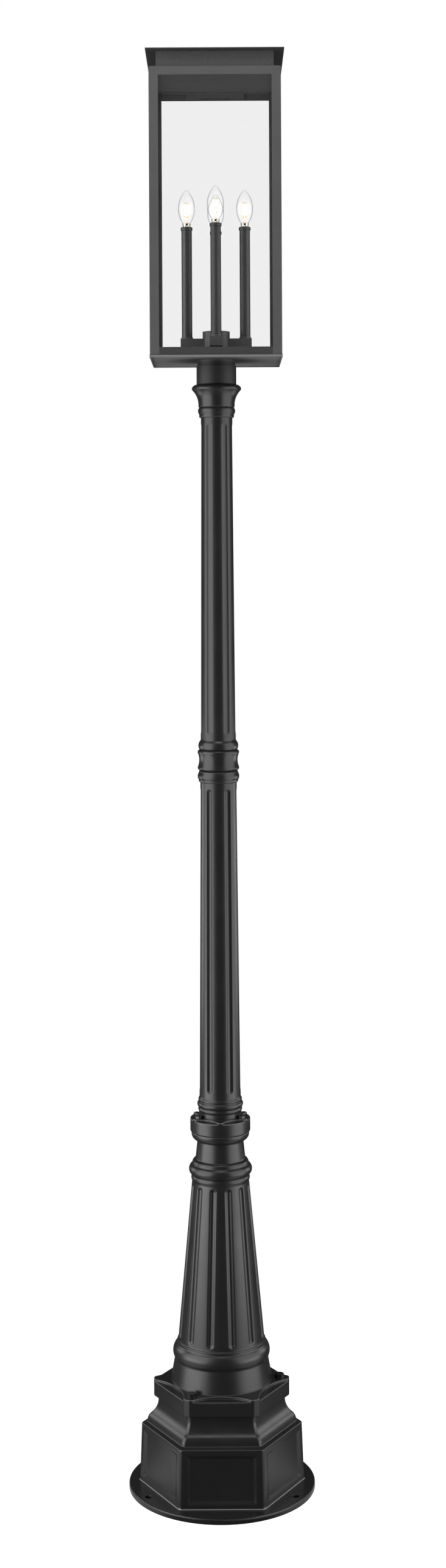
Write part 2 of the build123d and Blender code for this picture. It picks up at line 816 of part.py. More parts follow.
save("base_plate", make_base_plate())
save("plinth", make_plinth())
save("plinth_bolts", make_plinth_bolts())
save("column", make_column())
save("lower_shaft", make_lower_shaft())
save("flange_bolts", make_flange_bolts())
save("coupling_collar", make_coupling_collar())
save("joint_spigot", make_joint_spigot())
save("upper_shaft", make_upper_shaft())
save("capital", make_capital())

save("fitter_collar", make_fitter_collar())
save("set_screws", make_set_screws())
save("floor_pan", make_floor_pan())
save("bottom_rails", make_bottom_rails())
save("top_rails", make_top_rails())
corner_names = ("front_left", "front_right", "rear_right", "rear_left")
for corner_name, post in zip(corner_names, around(make_corner_post(), 4)):
    save(f"corner_post_{corner_name}", post)
for pane_name, pane in make_panes().items():
    save(pane_name, pane)
save("glass_clips", around(make_glass_clip(), 4))

save("lid_plate", make_lid_plate())
save("roof_neck", make_roof_neck())
save("roof_plate", make_roof_plate())

save("nipple", make_nipple())
save("nipple_nuts", make_nipple_nuts())
save("hub", make_hub())
save("hub_cap", make_hub_cap())
save("candle_cups", around(make_cup(), arm_count, 90))
save("lampholders", around(make_lampholder(), arm_count, 90))
light_makers = {
    "arm": make_arm,
    "sleeve": make_sleeve,
    "contact": make_contact,
    "bulb_cap": make_bulb_cap,
    "bulb_glass": make_bulb_glass,
    "bulb_mount": make_bulb_mount,
}
for piece_name, maker in light_makers.items():
    for number, piece in enumerate(around(maker(), arm_count, -90), start=1):
        save(f"{piece_name}_{number}", piece)
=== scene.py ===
# %% [markdown]
# # An outdoor post light, dressed
# A tall post of black cast metal carries a square glazed lantern with four candle lights.
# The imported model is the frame: every piece below is drawn around it, in metres, in the same place.
# The front is the side of -Y, and the origin is the middle of the base plate's underside.

# %% Load the frame
import json
import math

import bmesh
import bpy
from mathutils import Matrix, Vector
from mathutils.bvhtree import BVHTree


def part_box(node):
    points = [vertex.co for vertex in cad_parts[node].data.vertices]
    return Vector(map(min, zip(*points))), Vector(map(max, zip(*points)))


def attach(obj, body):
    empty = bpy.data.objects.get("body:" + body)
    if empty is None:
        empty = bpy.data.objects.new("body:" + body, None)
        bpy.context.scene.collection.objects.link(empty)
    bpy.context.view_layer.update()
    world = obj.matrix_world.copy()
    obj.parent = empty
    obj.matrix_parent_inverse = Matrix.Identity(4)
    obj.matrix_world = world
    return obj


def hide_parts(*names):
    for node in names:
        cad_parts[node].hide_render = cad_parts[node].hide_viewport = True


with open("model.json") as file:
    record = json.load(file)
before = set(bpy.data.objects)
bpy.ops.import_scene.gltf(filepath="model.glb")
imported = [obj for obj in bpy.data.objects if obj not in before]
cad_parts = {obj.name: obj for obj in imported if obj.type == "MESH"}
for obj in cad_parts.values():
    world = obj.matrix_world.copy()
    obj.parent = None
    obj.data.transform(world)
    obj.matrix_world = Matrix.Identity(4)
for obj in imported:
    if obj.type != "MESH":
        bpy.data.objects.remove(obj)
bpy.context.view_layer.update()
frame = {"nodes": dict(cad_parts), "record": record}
scene = bpy.context.scene
MM = 0.001

# %% [markdown]
# ## The viewpoint
# A level camera keeps the post's upright lines parallel, as a view camera with a sliding lens does.
# The lens is shifted down instead of tilted, so that the base is in the picture too.
# The photographed post leans by a third of a degree, and a small roll of the camera repeats that.

# %% Camera
PHOTO_H = 2576
HORIZON_Y = 896.4
FOCAL_PX = 3607
SENSOR_MM = 36.0
AXIS_DISTANCE = 4.608
CAMERA_HEIGHT = 1.969
CAMERA_ASIDE = 0.012
CAMERA_ROLL = math.radians(0.30)

lens = bpy.data.cameras.new("viewpoint")
lens.sensor_width = SENSOR_MM
lens.lens = FOCAL_PX * SENSOR_MM / PHOTO_H
lens.shift_y = (HORIZON_Y - PHOTO_H / 2) / PHOTO_H
camera = bpy.data.objects.new("viewpoint", lens)
camera.location = (CAMERA_ASIDE, -AXIS_DISTANCE, CAMERA_HEIGHT)
camera.rotation_euler = (math.pi / 2, CAMERA_ROLL, 0)
scene.collection.objects.link(camera)
scene.camera = camera
print("lens", round(lens.lens, 2), "mm, shift", round(lens.shift_y, 4))

# %% [markdown]
# ## Nodes from code
# Shaders and shapes are both node trees. They could be drawn by hand in Blender's node editor, but a
# script can be read, changed and run again. A few helpers place a node, set its inputs and link it, so
# that a tree reads like a list of what happens to a value.

# %% Helpers for node trees
NUMBER, COLOUR, POINT = "NodeSocketFloat", "NodeSocketColor", "NodeSocketVector"
GEOMETRY, WHOLE, FINISH = "NodeSocketGeometry", "NodeSocketInt", "NodeSocketMaterial"


def put(tree, kind, inputs=None, **settings):
    """Adds a node. An input's value is a constant, or the output socket of another node."""
    made = tree.nodes.new(kind)
    for name, value in settings.items():
        setattr(made, name, value)
    for key, value in (inputs or {}).items():
        if isinstance(value, bpy.types.NodeSocket):
            tree.links.new(value, made.inputs[key])
        else:
            made.inputs[key].default_value = value
    return made


def calc(tree, operation, *values):
    """One step of arithmetic on numbers or sockets."""
    made = put(tree, "ShaderNodeMath", dict(enumerate(values)), operation=operation)
    return made.outputs[0]


def blend(tree, factor, low, high):
    """A number that goes from low to high as the factor goes from 0 to 1."""
    return put(tree, "ShaderNodeMix", {0: factor, 2: low, 3: high}).outputs[0]


def blend_colour(tree, factor, low, high):
    """A colour that goes from low to high as the factor goes from 0 to 1."""
    return put(tree, "ShaderNodeMix", {0: factor, 6: low, 7: high}, data_type="RGBA").outputs[2]


def ramp(tree, value, low, high):
    """A smooth step from 0 at low to 1 at high."""
    return put(tree, "ShaderNodeMapRange", {0: value, 1: low, 2: high},
               interpolation_type="SMOOTHSTEP").outputs[0]


def group(name, inputs, outputs, kind="ShaderNodeTree"):
    """An empty node group with named sockets."""
    made = bpy.data.node_groups.new(name, kind)
    for label, sort, value in inputs:
        socket = made.interface.new_socket(label, in_out="INPUT", socket_type=sort)
        if value is not None:
            socket.default_value = value
    for label, sort in outputs:
        made.interface.new_socket(label, in_out="OUTPUT", socket_type=sort)
    return made


def blank_finish(name):
    """A material with an empty node tree."""
    finish = bpy.data.materials.new(name)
    finish.use_nodes = True
    finish.node_tree.nodes.clear()
    return finish, finish.node_tree


print("node names are those of Blender", bpy.app.version_string)

# %% [markdown]
# ## The studio
# Black satin metal shows what stands around it, so the room matters more than the lamps' power.
# Two wide softboxes at the sides draw the long highlights, and a dim room keeps the rest dark. A bright
# room would be simpler, but its mirror image turns black metal grey.
# The white ground behind is what the camera and clear glass see of the room.

# %% Room and floor
ROOM_LEVEL = 0.25
ROOM_GLOSS = 0.06
FLOOR_RADIUS = 3.0
FLOOR_SHADE = 0.45
FLOOR_LIFT = 0.75
FLOOR_FADE = (0.35, 1.3)
FLOOR_DARK, FLOOR_PALE = 0.08, 0.7
FLOOR_SIDES = 96
CARD_REAR, CARD_FRONT = (-0.3, 0.0), (0.9, 0.65)

scene.view_settings.view_transform = "Standard"
room = bpy.data.worlds.new("room")
room.use_nodes = True
scene.world = room
tree = room.node_tree
tree.nodes.clear()
path = put(tree, "ShaderNodeLightPath").outputs
seen = calc(tree, "MAXIMUM", path["Is Camera Ray"], path["Is Transmission Ray"])
level = blend(tree, path["Is Glossy Ray"], ROOM_LEVEL, ROOM_GLOSS)
level = blend(tree, seen, level, 1.0)
glow = put(tree, "ShaderNodeBackground", {"Color": (1, 1, 1, 1), "Strength": level})
put(tree, "ShaderNodeOutputWorld", {"Surface": glow.outputs[0]})


def make_floor_finish():
    """Pale floor that keeps the shadow near the base and fades to white further out.

    The metal mirrors a floor that is pale at the sides and dark in front, as if cards lay there."""
    finish, tree = blank_finish("pale floor")
    path = put(tree, "ShaderNodeLightPath").outputs
    seen = calc(tree, "MAXIMUM", path["Is Camera Ray"], path["Is Transmission Ray"])
    place = put(tree, "ShaderNodeTexCoord").outputs["Object"]
    reach = put(tree, "ShaderNodeVectorMath", {0: place}, operation="LENGTH").outputs["Value"]
    far = ramp(tree, reach, *FLOOR_FADE)
    depth = put(tree, "ShaderNodeSeparateXYZ", {0: place}).outputs["Y"]
    ahead = calc(tree, "DIVIDE", calc(tree, "MULTIPLY", depth, -1.0), reach)
    beside = calc(tree, "MULTIPLY", ramp(tree, ahead, *CARD_REAR), ramp(tree, ahead, *CARD_FRONT))
    mirrored = blend(tree, beside, FLOOR_DARK, FLOOR_PALE)
    shade = blend(tree, seen, mirrored, blend(tree, far, FLOOR_SHADE, 0.0))
    lift = calc(tree, "MULTIPLY", seen, blend(tree, far, FLOOR_LIFT, 1.0))
    tone = put(tree, "ShaderNodeCombineColor", {0: shade, 1: shade, 2: shade}).outputs[0]
    matt = put(tree, "ShaderNodeBsdfDiffuse", {"Color": tone})
    white = put(tree, "ShaderNodeEmission", {"Strength": lift})
    both = put(tree, "ShaderNodeAddShader", {0: matt.outputs[0], 1: white.outputs[0]})
    put(tree, "ShaderNodeOutputMaterial", {"Surface": both.outputs[0]})
    return finish


floor_mesh = bpy.data.meshes.new("floor")
shape = bmesh.new()
bmesh.ops.create_circle(shape, cap_ends=True, segments=FLOOR_SIDES, radius=FLOOR_RADIUS)
shape.to_mesh(floor_mesh)
shape.free()
floor_mesh.materials.append(make_floor_finish())
floor = bpy.data.objects.new("floor", floor_mesh)
scene.collection.objects.link(floor)
print("room level", ROOM_LEVEL, "and a floor of", FLOOR_RADIUS, "m radius")


# %% Lamps
def softbox(name, place, aim, size, radiance):
    """Rectangular lamp that faces a point. The camera and the glass don't see it."""
    light = bpy.data.lights.new(name, "AREA")
    light.shape = "RECTANGLE"
    light.size, light.size_y = size
    light.energy = radiance * math.pi * size[0] * size[1]
    lamp = bpy.data.objects.new(name, light)
    lamp.location = place
    lamp.rotation_euler = (Vector(place) - Vector(aim)).to_track_quat("Z", "Y").to_euler()
    lamp.visible_camera = False
    lamp.visible_transmission = False
    scene.collection.objects.link(lamp)
    print(name, "of", size[0], "x", size[1], "m, radiance", radiance)


MIDDLE, BASE = (0, 0, 1.95), (0, 0, 0.2)
PLINTH_SPOT, ROOF_SPOT = (0, 0, 0.3), (0, 0, 2.7)
softbox("left softbox", (-2.16, -1.05, 1.95), MIDDLE, (3.0, 3.8), 3.1)
softbox("right softbox", (2.25, -0.82, 1.95), MIDDLE, (3.0, 3.8), 2.1)
softbox("left kicker", (-1.78, 0.91, 0.95), BASE, (0.7, 0.9), 3.0)
softbox("right kicker", (1.78, 0.91, 0.95), BASE, (0.7, 0.9), 3.0)
softbox("left strip", (-1.54, -0.62, 0.3), PLINTH_SPOT, (1.3, 0.5), 2.0)
softbox("right strip", (1.54, -0.5, 0.3), PLINTH_SPOT, (1.3, 0.5), 1.7)
softbox("top light", (0, -1.2, 4.2), ROOF_SPOT, (1.6, 0.8), 4.4)

# %% [markdown]
# ## Finishes
# The post wears a satin powder coat over a casting: it is nearly black, with a fine orange peel and
# slow waves from the mould that bend its highlights. The lantern's coat is a rougher, sandy one.
# Each could have its own picture texture, but both come from one node group with other values, on the
# object's own coordinates: no unwrapping is needed and the grain has the same size on every piece.

# %% Node group for powder coats
SPECKS, CLOUDS = (0.45, 0.72), (0.3, 0.7)
FEWEST_SPECKS = 0.7
GLOSS_SPREAD = 0.06
GRAIN_HEIGHT = 0.1


def make_coat_group():
    """Colour, roughness and height of a coat, from fine grain and slow waves."""
    made = group(
        "powder coat",
        [("Place", POINT, None), ("Coat", COLOUR, None), ("Grain", COLOUR, None),
         ("Grain Scale", NUMBER, 900.0), ("Grain Share", NUMBER, 0.3), ("Wave Scale", NUMBER, 20.0),
         ("Wave Share", NUMBER, 0.5), ("Roughness", NUMBER, 0.4)],
        [("Color", COLOUR), ("Roughness", NUMBER), ("Height", NUMBER)])
    use = put(made, "NodeGroupInput").outputs
    grain = put(made, "ShaderNodeTexNoise", {"Vector": use["Place"], "Scale": use["Grain Scale"],
                                             "Detail": 2.0, "Roughness": 0.6}).outputs["Fac"]
    wave = put(made, "ShaderNodeTexNoise", {"Vector": use["Place"], "Scale": use["Wave Scale"],
                                            "Detail": 3.0, "Roughness": 0.5}).outputs["Fac"]
    speck = put(made, "ShaderNodeMapRange", {0: grain, 1: SPECKS[0], 2: SPECKS[1]}).outputs[0]
    cloud = put(made, "ShaderNodeMapRange", {0: wave, 1: CLOUDS[0], 2: CLOUDS[1]}).outputs[0]
    share = calc(made, "MULTIPLY", speck, use["Grain Share"])
    share = calc(made, "MULTIPLY", share, blend(made, cloud, FEWEST_SPECKS, 1.0))
    tone = blend_colour(made, share, use["Coat"], use["Grain"])
    rough = calc(made, "MULTIPLY_ADD", calc(made, "SUBTRACT", cloud, 0.5), GLOSS_SPREAD, use["Roughness"])
    peel = calc(made, "MULTIPLY", grain, GRAIN_HEIGHT)
    height = calc(made, "MULTIPLY_ADD", wave, use["Wave Share"], peel)
    put(made, "NodeGroupOutput", {"Color": tone, "Roughness": rough, "Height": height})
    return made


coat_group = make_coat_group()
print(coat_group.name, "has", len(coat_group.nodes), "nodes")

# %% [markdown]
# ## One coat for each kind of piece
# A casting's outer edges get a painted highlight: fine paler lines painted into the coat's colour. Painting
# them by hand would take long, so a node looks from inside the wall: where the other side is near, an edge is
# near.
# Castings wear the satin coat, the lantern the sandy one, its rails and roof plate a darker copy with painted
# shade, and its smooth sleeves their own.

# %% Coats
# Painted highlight along outer edges: where the wall's other side is near, the coat's colour is made paler.
PAINTED_HIGHLIGHT_RAMP, PAINTED_HIGHLIGHT_REACH = (0.95, 0.65), 2.5 * MM
BLACK, BLACK_GRAIN = (0.008, 0.008, 0.009), (0.024, 0.024, 0.026)


def make_coat(name, coat, grain, values, relief, edge, specular=0.5, painted_highlight=None):
    """Powder coat with its own colour, grain and gloss. The edge is the radius of its soft corners.
    A coat with a painted highlight has another, paler colour painted along its outer edges."""
    finish, tree = blank_finish(name)
    place = put(tree, "ShaderNodeTexCoord").outputs["Object"]
    coated = tree.nodes.new("ShaderNodeGroup")
    coated.node_tree = coat_group
    tree.links.new(place, coated.inputs["Place"])
    coated.inputs["Coat"].default_value = (*coat, 1)
    coated.inputs["Grain"].default_value = (*grain, 1)
    for label, value in values.items():
        coated.inputs[label].default_value = value
    tone = coated.outputs["Color"]
    # Painted highlight: a paler colour along the outer edges.
    if painted_highlight:
        depth = put(tree, "ShaderNodeAmbientOcclusion", {"Distance": PAINTED_HIGHLIGHT_REACH})
        depth.inside = depth.only_local = True
        tone = blend_colour(tree, ramp(tree, depth.outputs["AO"], *PAINTED_HIGHLIGHT_RAMP), tone, (*painted_highlight, 1))
    soft = put(tree, "ShaderNodeBevel", {"Radius": edge})
    bump = put(tree, "ShaderNodeBump", {"Height": coated.outputs["Height"], "Normal": soft.outputs[0],
                                        "Strength": relief, "Distance": 1 * MM})
    skin = put(tree, "ShaderNodeBsdfPrincipled", {
        "Base Color": tone, "Roughness": coated.outputs["Roughness"],
        "Normal": bump.outputs[0], "Specular IOR Level": specular})
    put(tree, "ShaderNodeOutputMaterial", {"Surface": skin.outputs[0]})
    return finish


def coat_values(scale, share, wave, roughness):
    """Values for the node group: the grain's scale and share, the waves' share and the roughness."""
    return {"Grain Scale": scale, "Grain Share": share, "Wave Share": wave, "Roughness": roughness}


# The castings' coat has a painted highlight along its outer edges.
post_coat = make_coat(
    "satin black coat with painted edge highlight", BLACK, BLACK_GRAIN, coat_values(1400.0, 0.35, 0.6, 0.32),
    relief=0.25, edge=1.6 * MM, painted_highlight=(0.14, 0.14, 0.144))
plate_coat = make_coat(
    "satin black plate", BLACK, BLACK_GRAIN, coat_values(1400.0, 0.35, 0.6, 0.3),
    relief=0.2, edge=3.0 * MM)
lantern_coat = make_coat(
    "sandy black coat", (0.055, 0.055, 0.056), (0.15, 0.15, 0.152), coat_values(1000.0, 0.5, 0.3, 0.5),
    relief=0.4, edge=0.6 * MM)
# A darker copy of the sandy coat: painted shade for the bottom rails and the roof plate.
painted_shade_coat = make_coat(
    "sandy black coat with painted shade", (0.025, 0.025, 0.026), (0.08, 0.08, 0.082),
    coat_values(1000.0, 0.5, 0.3, 0.5), relief=0.4, edge=0.6 * MM)
collar_coat = make_coat(
    "matt black coat", (0.01, 0.01, 0.011), (0.03, 0.03, 0.032), coat_values(1100.0, 0.4, 0.3, 0.52),
    relief=0.3, edge=0.8 * MM, specular=0.4)
# Pale grey coat for the pan: painted light from the ground, with painted shade added by a mask further down.
pan_coat_painted_light_and_shade = make_coat(
    "pan coat with painted light and shade", (0.14, 0.14, 0.142), (0.26, 0.26, 0.262), coat_values(1000.0, 0.3, 0.3, 0.5),
    relief=0.3, edge=0.6 * MM)
sleeve_coat = make_coat(
    "smooth black sleeves", (0.03, 0.03, 0.031), (0.045, 0.045, 0.046), coat_values(1400.0, 0.3, 0.3, 0.42),
    relief=0.12, edge=0.4 * MM)
bolt_coat = make_coat(
    "black bolts", (0.008, 0.008, 0.008), (0.03, 0.03, 0.03), coat_values(2000.0, 0.3, 0.2, 0.28),
    relief=0.15, edge=0.5 * MM)
holder = make_coat(
    "holder plastic", (0.8, 0.77, 0.7), (0.7, 0.67, 0.6), coat_values(900.0, 0.3, 0.2, 0.5),
    relief=0.1, edge=0.3 * MM)
print("coats:", ", ".join(finish.name for finish in bpy.data.materials))

# %% [markdown]
# ## The pan's painted light and shade
# The lantern's floor is a pan. Its underside is painted pale, as painted light from the ground, while its
# upper face and the part round the collar are painted dark, as painted shade. Two finishes on one piece would
# meet in a hard line, so one coat is darkened by a mask on the height and on the distance from the axis.

# %% Painted light and shade on the pan
PAN_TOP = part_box("floor_pan")[1][2]
PAN_PAINTED_SHADE = 0.2
PAN_PAINTED_SHADE_TO, PAN_PAINTED_LIGHT_FROM = 46 * MM, 120 * MM


def paint_pan_light_and_shade(finish):
    """Paints shade on the pan's upper face and round the collar, and leaves the painted light from the ground
    pale under the pan.
    """
    tree = finish.node_tree
    coated = next(node for node in tree.nodes if node.type == "GROUP")
    place = put(tree, "ShaderNodeTexCoord").outputs["Object"]
    height = put(tree, "ShaderNodeSeparateXYZ", {0: place}).outputs["Z"]
    level = put(tree, "ShaderNodeVectorMath", {0: place, 1: (1, 1, 0)}, operation="MULTIPLY").outputs[0]
    reach = put(tree, "ShaderNodeVectorMath", {0: level}, operation="LENGTH").outputs["Value"]
    # Painted light under the pan, away from the collar; painted shade on its upper face and round the collar.
    below = calc(tree, "LESS_THAN", height, PAN_TOP - MM)
    painted_light_share = calc(tree, "MULTIPLY", ramp(tree, reach, PAN_PAINTED_SHADE_TO, PAN_PAINTED_LIGHT_FROM), below)
    for label in ("Coat", "Grain"):
        pale = tuple(coated.inputs[label].default_value)
        dark = tuple(PAN_PAINTED_SHADE * part for part in pale[:3])
        tree.links.new(blend_colour(tree, painted_light_share, (*dark, 1), pale), coated.inputs[label])


paint_pan_light_and_shade(pan_coat_painted_light_and_shade)
print("the pan is pale below", round(PAN_TOP - MM, 4), "m")

# %% [markdown]
# ## Glass
# Panes and bulbs are thin, so light goes straight through them and only a share comes back, more
# of it the flatter one looks along the glass. A power of the angle gives that share: a few percent head
# on, and all of it at a grazing angle. Blender's glass shader would bend the light as well, but lamps
# shine through this one without any search for paths.

# %% Glass
MIRROR_POWER, RIM_POWER = 5.0, 4.0
MIRROR_ROUGHNESS = 0.02
EVEN_FACING = 0.5


def make_glass(name, tint, rim, base_share):
    """Thin glass. The rim is its colour where one looks along the wall."""
    finish, tree = blank_finish(name)
    flat = put(tree, "ShaderNodeLayerWeight", {"Blend": EVEN_FACING}).outputs["Facing"]
    steep = calc(tree, "POWER", flat, MIRROR_POWER)
    share = calc(tree, "MULTIPLY_ADD", steep, 1.0 - base_share, base_share)
    tone = blend_colour(tree, calc(tree, "POWER", flat, RIM_POWER), (*tint, 1), (*rim, 1))
    through = put(tree, "ShaderNodeBsdfTransparent", {"Color": tone})
    mirror = put(tree, "ShaderNodeBsdfPrincipled", {
        "Base Color": (1, 1, 1, 1), "Metallic": 1.0, "Roughness": MIRROR_ROUGHNESS})
    both = put(tree, "ShaderNodeMixShader", {0: share, 1: through.outputs[0], 2: mirror.outputs[0]})
    put(tree, "ShaderNodeOutputMaterial", {"Surface": both.outputs[0]})
    return finish, tree, both


pane_glass, _, _ = make_glass("clear panes", (0.997, 0.998, 0.997), (0.9, 0.93, 0.91), 0.038)
print("glass:", pane_glass.name)

# %% [markdown]
# ## Lit bulbs
# The filaments are white-hot, with amber ends. Their light scatters a little in the bulb's glass,
# which shows as a faint white bloom around them. A lamp in each bulb would light the whole lantern, and
# these bulbs only glow, so the glow is in their finishes, which follow the height above the bulb's foot.

# %% Bulb glass
GLASS_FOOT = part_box("bulb_glass_1")[0][2]
FILAMENT_LOW, FILAMENT_HIGH = GLASS_FOOT + 14 * MM, GLASS_FOOT + 42 * MM
BLOOM = 0.045
BLOOM_UP = (GLASS_FOOT - 4 * MM, FILAMENT_LOW)
BLOOM_DOWN = (FILAMENT_HIGH + 12 * MM, FILAMENT_HIGH - 8 * MM)
BLOOM_INNER = (0.75, 0.2)


def height_of(tree):
    """Height on the object's own coordinates."""
    place = put(tree, "ShaderNodeTexCoord").outputs["Object"]
    return put(tree, "ShaderNodeSeparateXYZ", {0: place}).outputs["Z"]


def make_bulb_glass():
    """Thin glass with a bloom round the filaments, which fades towards the glass's edge."""
    finish, tree, clear = make_glass("bulb glass", (1.0, 1.0, 1.0), (0.55, 0.55, 0.56), 0.015)
    height = height_of(tree)
    level = calc(tree, "MULTIPLY", ramp(tree, height, *BLOOM_UP), ramp(tree, height, *BLOOM_DOWN))
    flat = put(tree, "ShaderNodeLayerWeight", {"Blend": EVEN_FACING}).outputs["Facing"]
    inner = ramp(tree, flat, *BLOOM_INNER)
    strength = calc(tree, "MULTIPLY", level, calc(tree, "MULTIPLY", inner, BLOOM))
    bloom = put(tree, "ShaderNodeEmission", {"Color": (1.0, 0.98, 0.95, 1), "Strength": strength})
    both = put(tree, "ShaderNodeAddShader", {0: clear.outputs[0], 1: bloom.outputs[0]})
    output = next(node for node in tree.nodes if node.type == "OUTPUT_MATERIAL")
    tree.links.new(both.outputs[0], output.inputs["Surface"])
    return finish


bulb_glass = make_bulb_glass()
print("filaments glow from", round(FILAMENT_LOW, 4), "to", round(FILAMENT_HIGH, 4), "m")

# %% [markdown]
# ## Metals, filaments and stem
# The bulbs' caps are nickel plated, the contacts under them are brass, and the hidden tube and nuts are
# plated steel. One even gloss would be quicker, but it looks like plastic, so fine scratches vary it.
# The filaments carry their own glow, and the glass stem a painted glow that stands in for their light on it;
# its colour changes along their height.

# %% Metals, filaments and stem
SCRATCH_SCALE, SCRATCH_SPREAD, SCRATCH_TONE = 900.0, 0.1, 0.8
SCRATCHES = (0.45, 0.75)
HOT_START, HOT_FULL = 1 * MM, 3 * MM
AMBER, WHITE_HOT = (0.85, 0.5, 0.12, 1), (1.0, 0.93, 0.8, 1)
END_GLOW, MIDDLE_GLOW, STEM_PAINTED_GLOW = 0.4, 1.6, 0.35
STEM_TIP, STEM_FOOT = (0.95, 0.85, 0.68, 1), (0.85, 0.62, 0.5, 1)


def make_metal(name, colour, roughness):
    """Plated or polished metal with fine scratches that vary its gloss."""
    finish, tree = blank_finish(name)
    place = put(tree, "ShaderNodeTexCoord").outputs["Object"]
    grain = put(tree, "ShaderNodeTexNoise", {
        "Vector": place, "Scale": SCRATCH_SCALE, "Detail": 3.0}).outputs["Fac"]
    rough = calc(tree, "MULTIPLY_ADD", grain, SCRATCH_SPREAD, roughness - SCRATCH_SPREAD / 2)
    dull = tuple(SCRATCH_TONE * part for part in colour)
    tone = blend_colour(tree, ramp(tree, grain, *SCRATCHES), (*colour, 1), (*dull, 1))
    skin = put(tree, "ShaderNodeBsdfPrincipled", {"Base Color": tone, "Metallic": 1.0, "Roughness": rough})
    put(tree, "ShaderNodeOutputMaterial", {"Surface": skin.outputs[0]})
    return finish


def make_lit_filament():
    """White-hot in the middle and amber at both ends."""
    finish, tree = blank_finish("lit filament")
    height = height_of(tree)
    hot = calc(tree, "MULTIPLY", ramp(tree, height, FILAMENT_LOW + HOT_START, FILAMENT_LOW + HOT_FULL),
               ramp(tree, height, FILAMENT_HIGH - HOT_START, FILAMENT_HIGH - HOT_FULL))
    tone = blend_colour(tree, hot, AMBER, WHITE_HOT)
    skin = put(tree, "ShaderNodeBsdfPrincipled", {
        "Base Color": tone, "Roughness": 0.6, "Emission Color": tone,
        "Emission Strength": blend(tree, hot, END_GLOW, MIDDLE_GLOW)})
    put(tree, "ShaderNodeOutputMaterial", {"Surface": skin.outputs[0]})
    return finish


def make_stem_glass():
    """Pressed glass of the bulb's stem, with a warm painted glow that stands in for the filaments' light on
    it.
    """
    finish, tree = blank_finish("stem glass")
    warm = ramp(tree, height_of(tree), FILAMENT_LOW, GLASS_FOOT)
    tone = blend_colour(tree, warm, STEM_TIP, STEM_FOOT)
    # Painted light: the stem's glow stands in for the filaments' light.
    skin = put(tree, "ShaderNodeBsdfPrincipled", {
        "Base Color": tone, "Roughness": 0.25, "Emission Color": tone,
        "Emission Strength": STEM_PAINTED_GLOW})
    put(tree, "ShaderNodeOutputMaterial", {"Surface": skin.outputs[0]})
    return finish


lit_filament = make_lit_filament()
stem_glass = make_stem_glass()
cap_nickel = make_metal("nickel cap", (0.72, 0.66, 0.58), 0.16)
contact_brass = make_metal("contact brass", (0.78, 0.6, 0.3), 0.3)
plated_steel = make_metal("plated steel", (0.6, 0.6, 0.6), 0.35)
print("metals:", cap_nickel.name, contact_brass.name, plated_steel.name)

# %% [markdown]
# ## Dressing the frame
# Pieces whose CAD shape is already the real one keep it, and only take their finish.
# The record names the finish of each piece, so one table of finishes does for nearly all of them, and a
# second one names the few that look different from their neighbours.

# %% Finishes by slot
LIGHTS = (1, 2, 3, 4)
finish_of = {
    "post_coat": post_coat, "lantern_coat": lantern_coat, "black_steel": bolt_coat,
    "plated_steel": plated_steel, "clear_glass": pane_glass, "bulb_glass": bulb_glass,
    "holder_plastic": holder, "contact_brass": contact_brass, "cap_nickel": cap_nickel,
    "filament": lit_filament,
}
for subpart in frame["record"]["subparts"]:
    mesh = frame["nodes"][subpart["node"]].data
    mesh.materials.clear()
    mesh.materials.append(finish_of[subpart["material_slot"]])
# The pan takes a coat with painted light and shade, and the bottom rails and roof plate one with painted
# shade.
own_finish = {
    "base_plate": plate_coat, "fitter_collar": collar_coat, "floor_pan": pan_coat_painted_light_and_shade,
    "bottom_rails": painted_shade_coat, "roof_plate": painted_shade_coat,
}
for number in LIGHTS:
    own_finish[f"sleeve_{number}"] = sleeve_coat
for node, finish in own_finish.items():
    frame["nodes"][node].data.materials[0] = finish

# %% [markdown]
# ## Outlines read from the frame
# A cast piece has soft edges that the CAD solids leave out, and those edges catch the light.
# So each casting is drawn again around its own solid. Its outline could be typed in, but rays shot at the
# solid's corners give it without a slip, and it follows the solid. Arcs are found again in the short
# steps that stand for them, and sharp corners are rounded.

# %% Lines and arcs
HAIR = 0.003 * MM
LEAST_BEND, MOST_BEND = math.radians(1.5), math.radians(34)
EVEN_RATIO = 1.9
LEAST_STEPS, LEAST_PARTS = 3, 4
ARC_STEP = math.radians(8)


def thin_out(points, slack):
    """Drops the points of an outline that lie within the slack of the line between those kept."""
    start, end = Vector(points[0]), Vector(points[-1])
    line = end - start
    worst, far = 0, 0.0
    for number, point in enumerate(points[1:-1], start=1):
        offset = Vector(point) - start
        gap = abs(line.cross(offset)) / line.length if line.length else offset.length
        if gap > far:
            worst, far = number, gap
    if far <= slack:
        return [points[0], points[-1]]
    return thin_out(points[:worst + 1], slack)[:-1] + thin_out(points[worst:], slack)


def arc(centre, radius, start, end, count):
    """Points on an arc, both ends included."""
    points = []
    for number in range(count + 1):
        turn = start + (end - start) * number / count
        points.append((centre[0] + radius * math.cos(turn), centre[1] + radius * math.sin(turn)))
    return points


def arc_through(first, middle, last):
    """Points on the arc through three points, one every few degrees."""
    first, middle, last = Vector(first), Vector(middle), Vector(last)
    p, q = middle - first, last - first
    lean = 2 * p.cross(q)
    pp, qq = p.length_squared, q.length_squared
    aside = Vector((q.y * pp - p.y * qq, p.x * qq - q.x * pp))
    centre = first + aside / lean
    start = math.atan2(first.y - centre.y, first.x - centre.x)
    end = math.atan2(last.y - centre.y, last.x - centre.x)
    sweep = (end - start) % math.tau
    if lean < 0:
        sweep -= math.tau
    parts = max(LEAST_PARTS, round(abs(sweep) / ARC_STEP))
    return arc(centre, aside.length / abs(lean), start, start + sweep, parts)


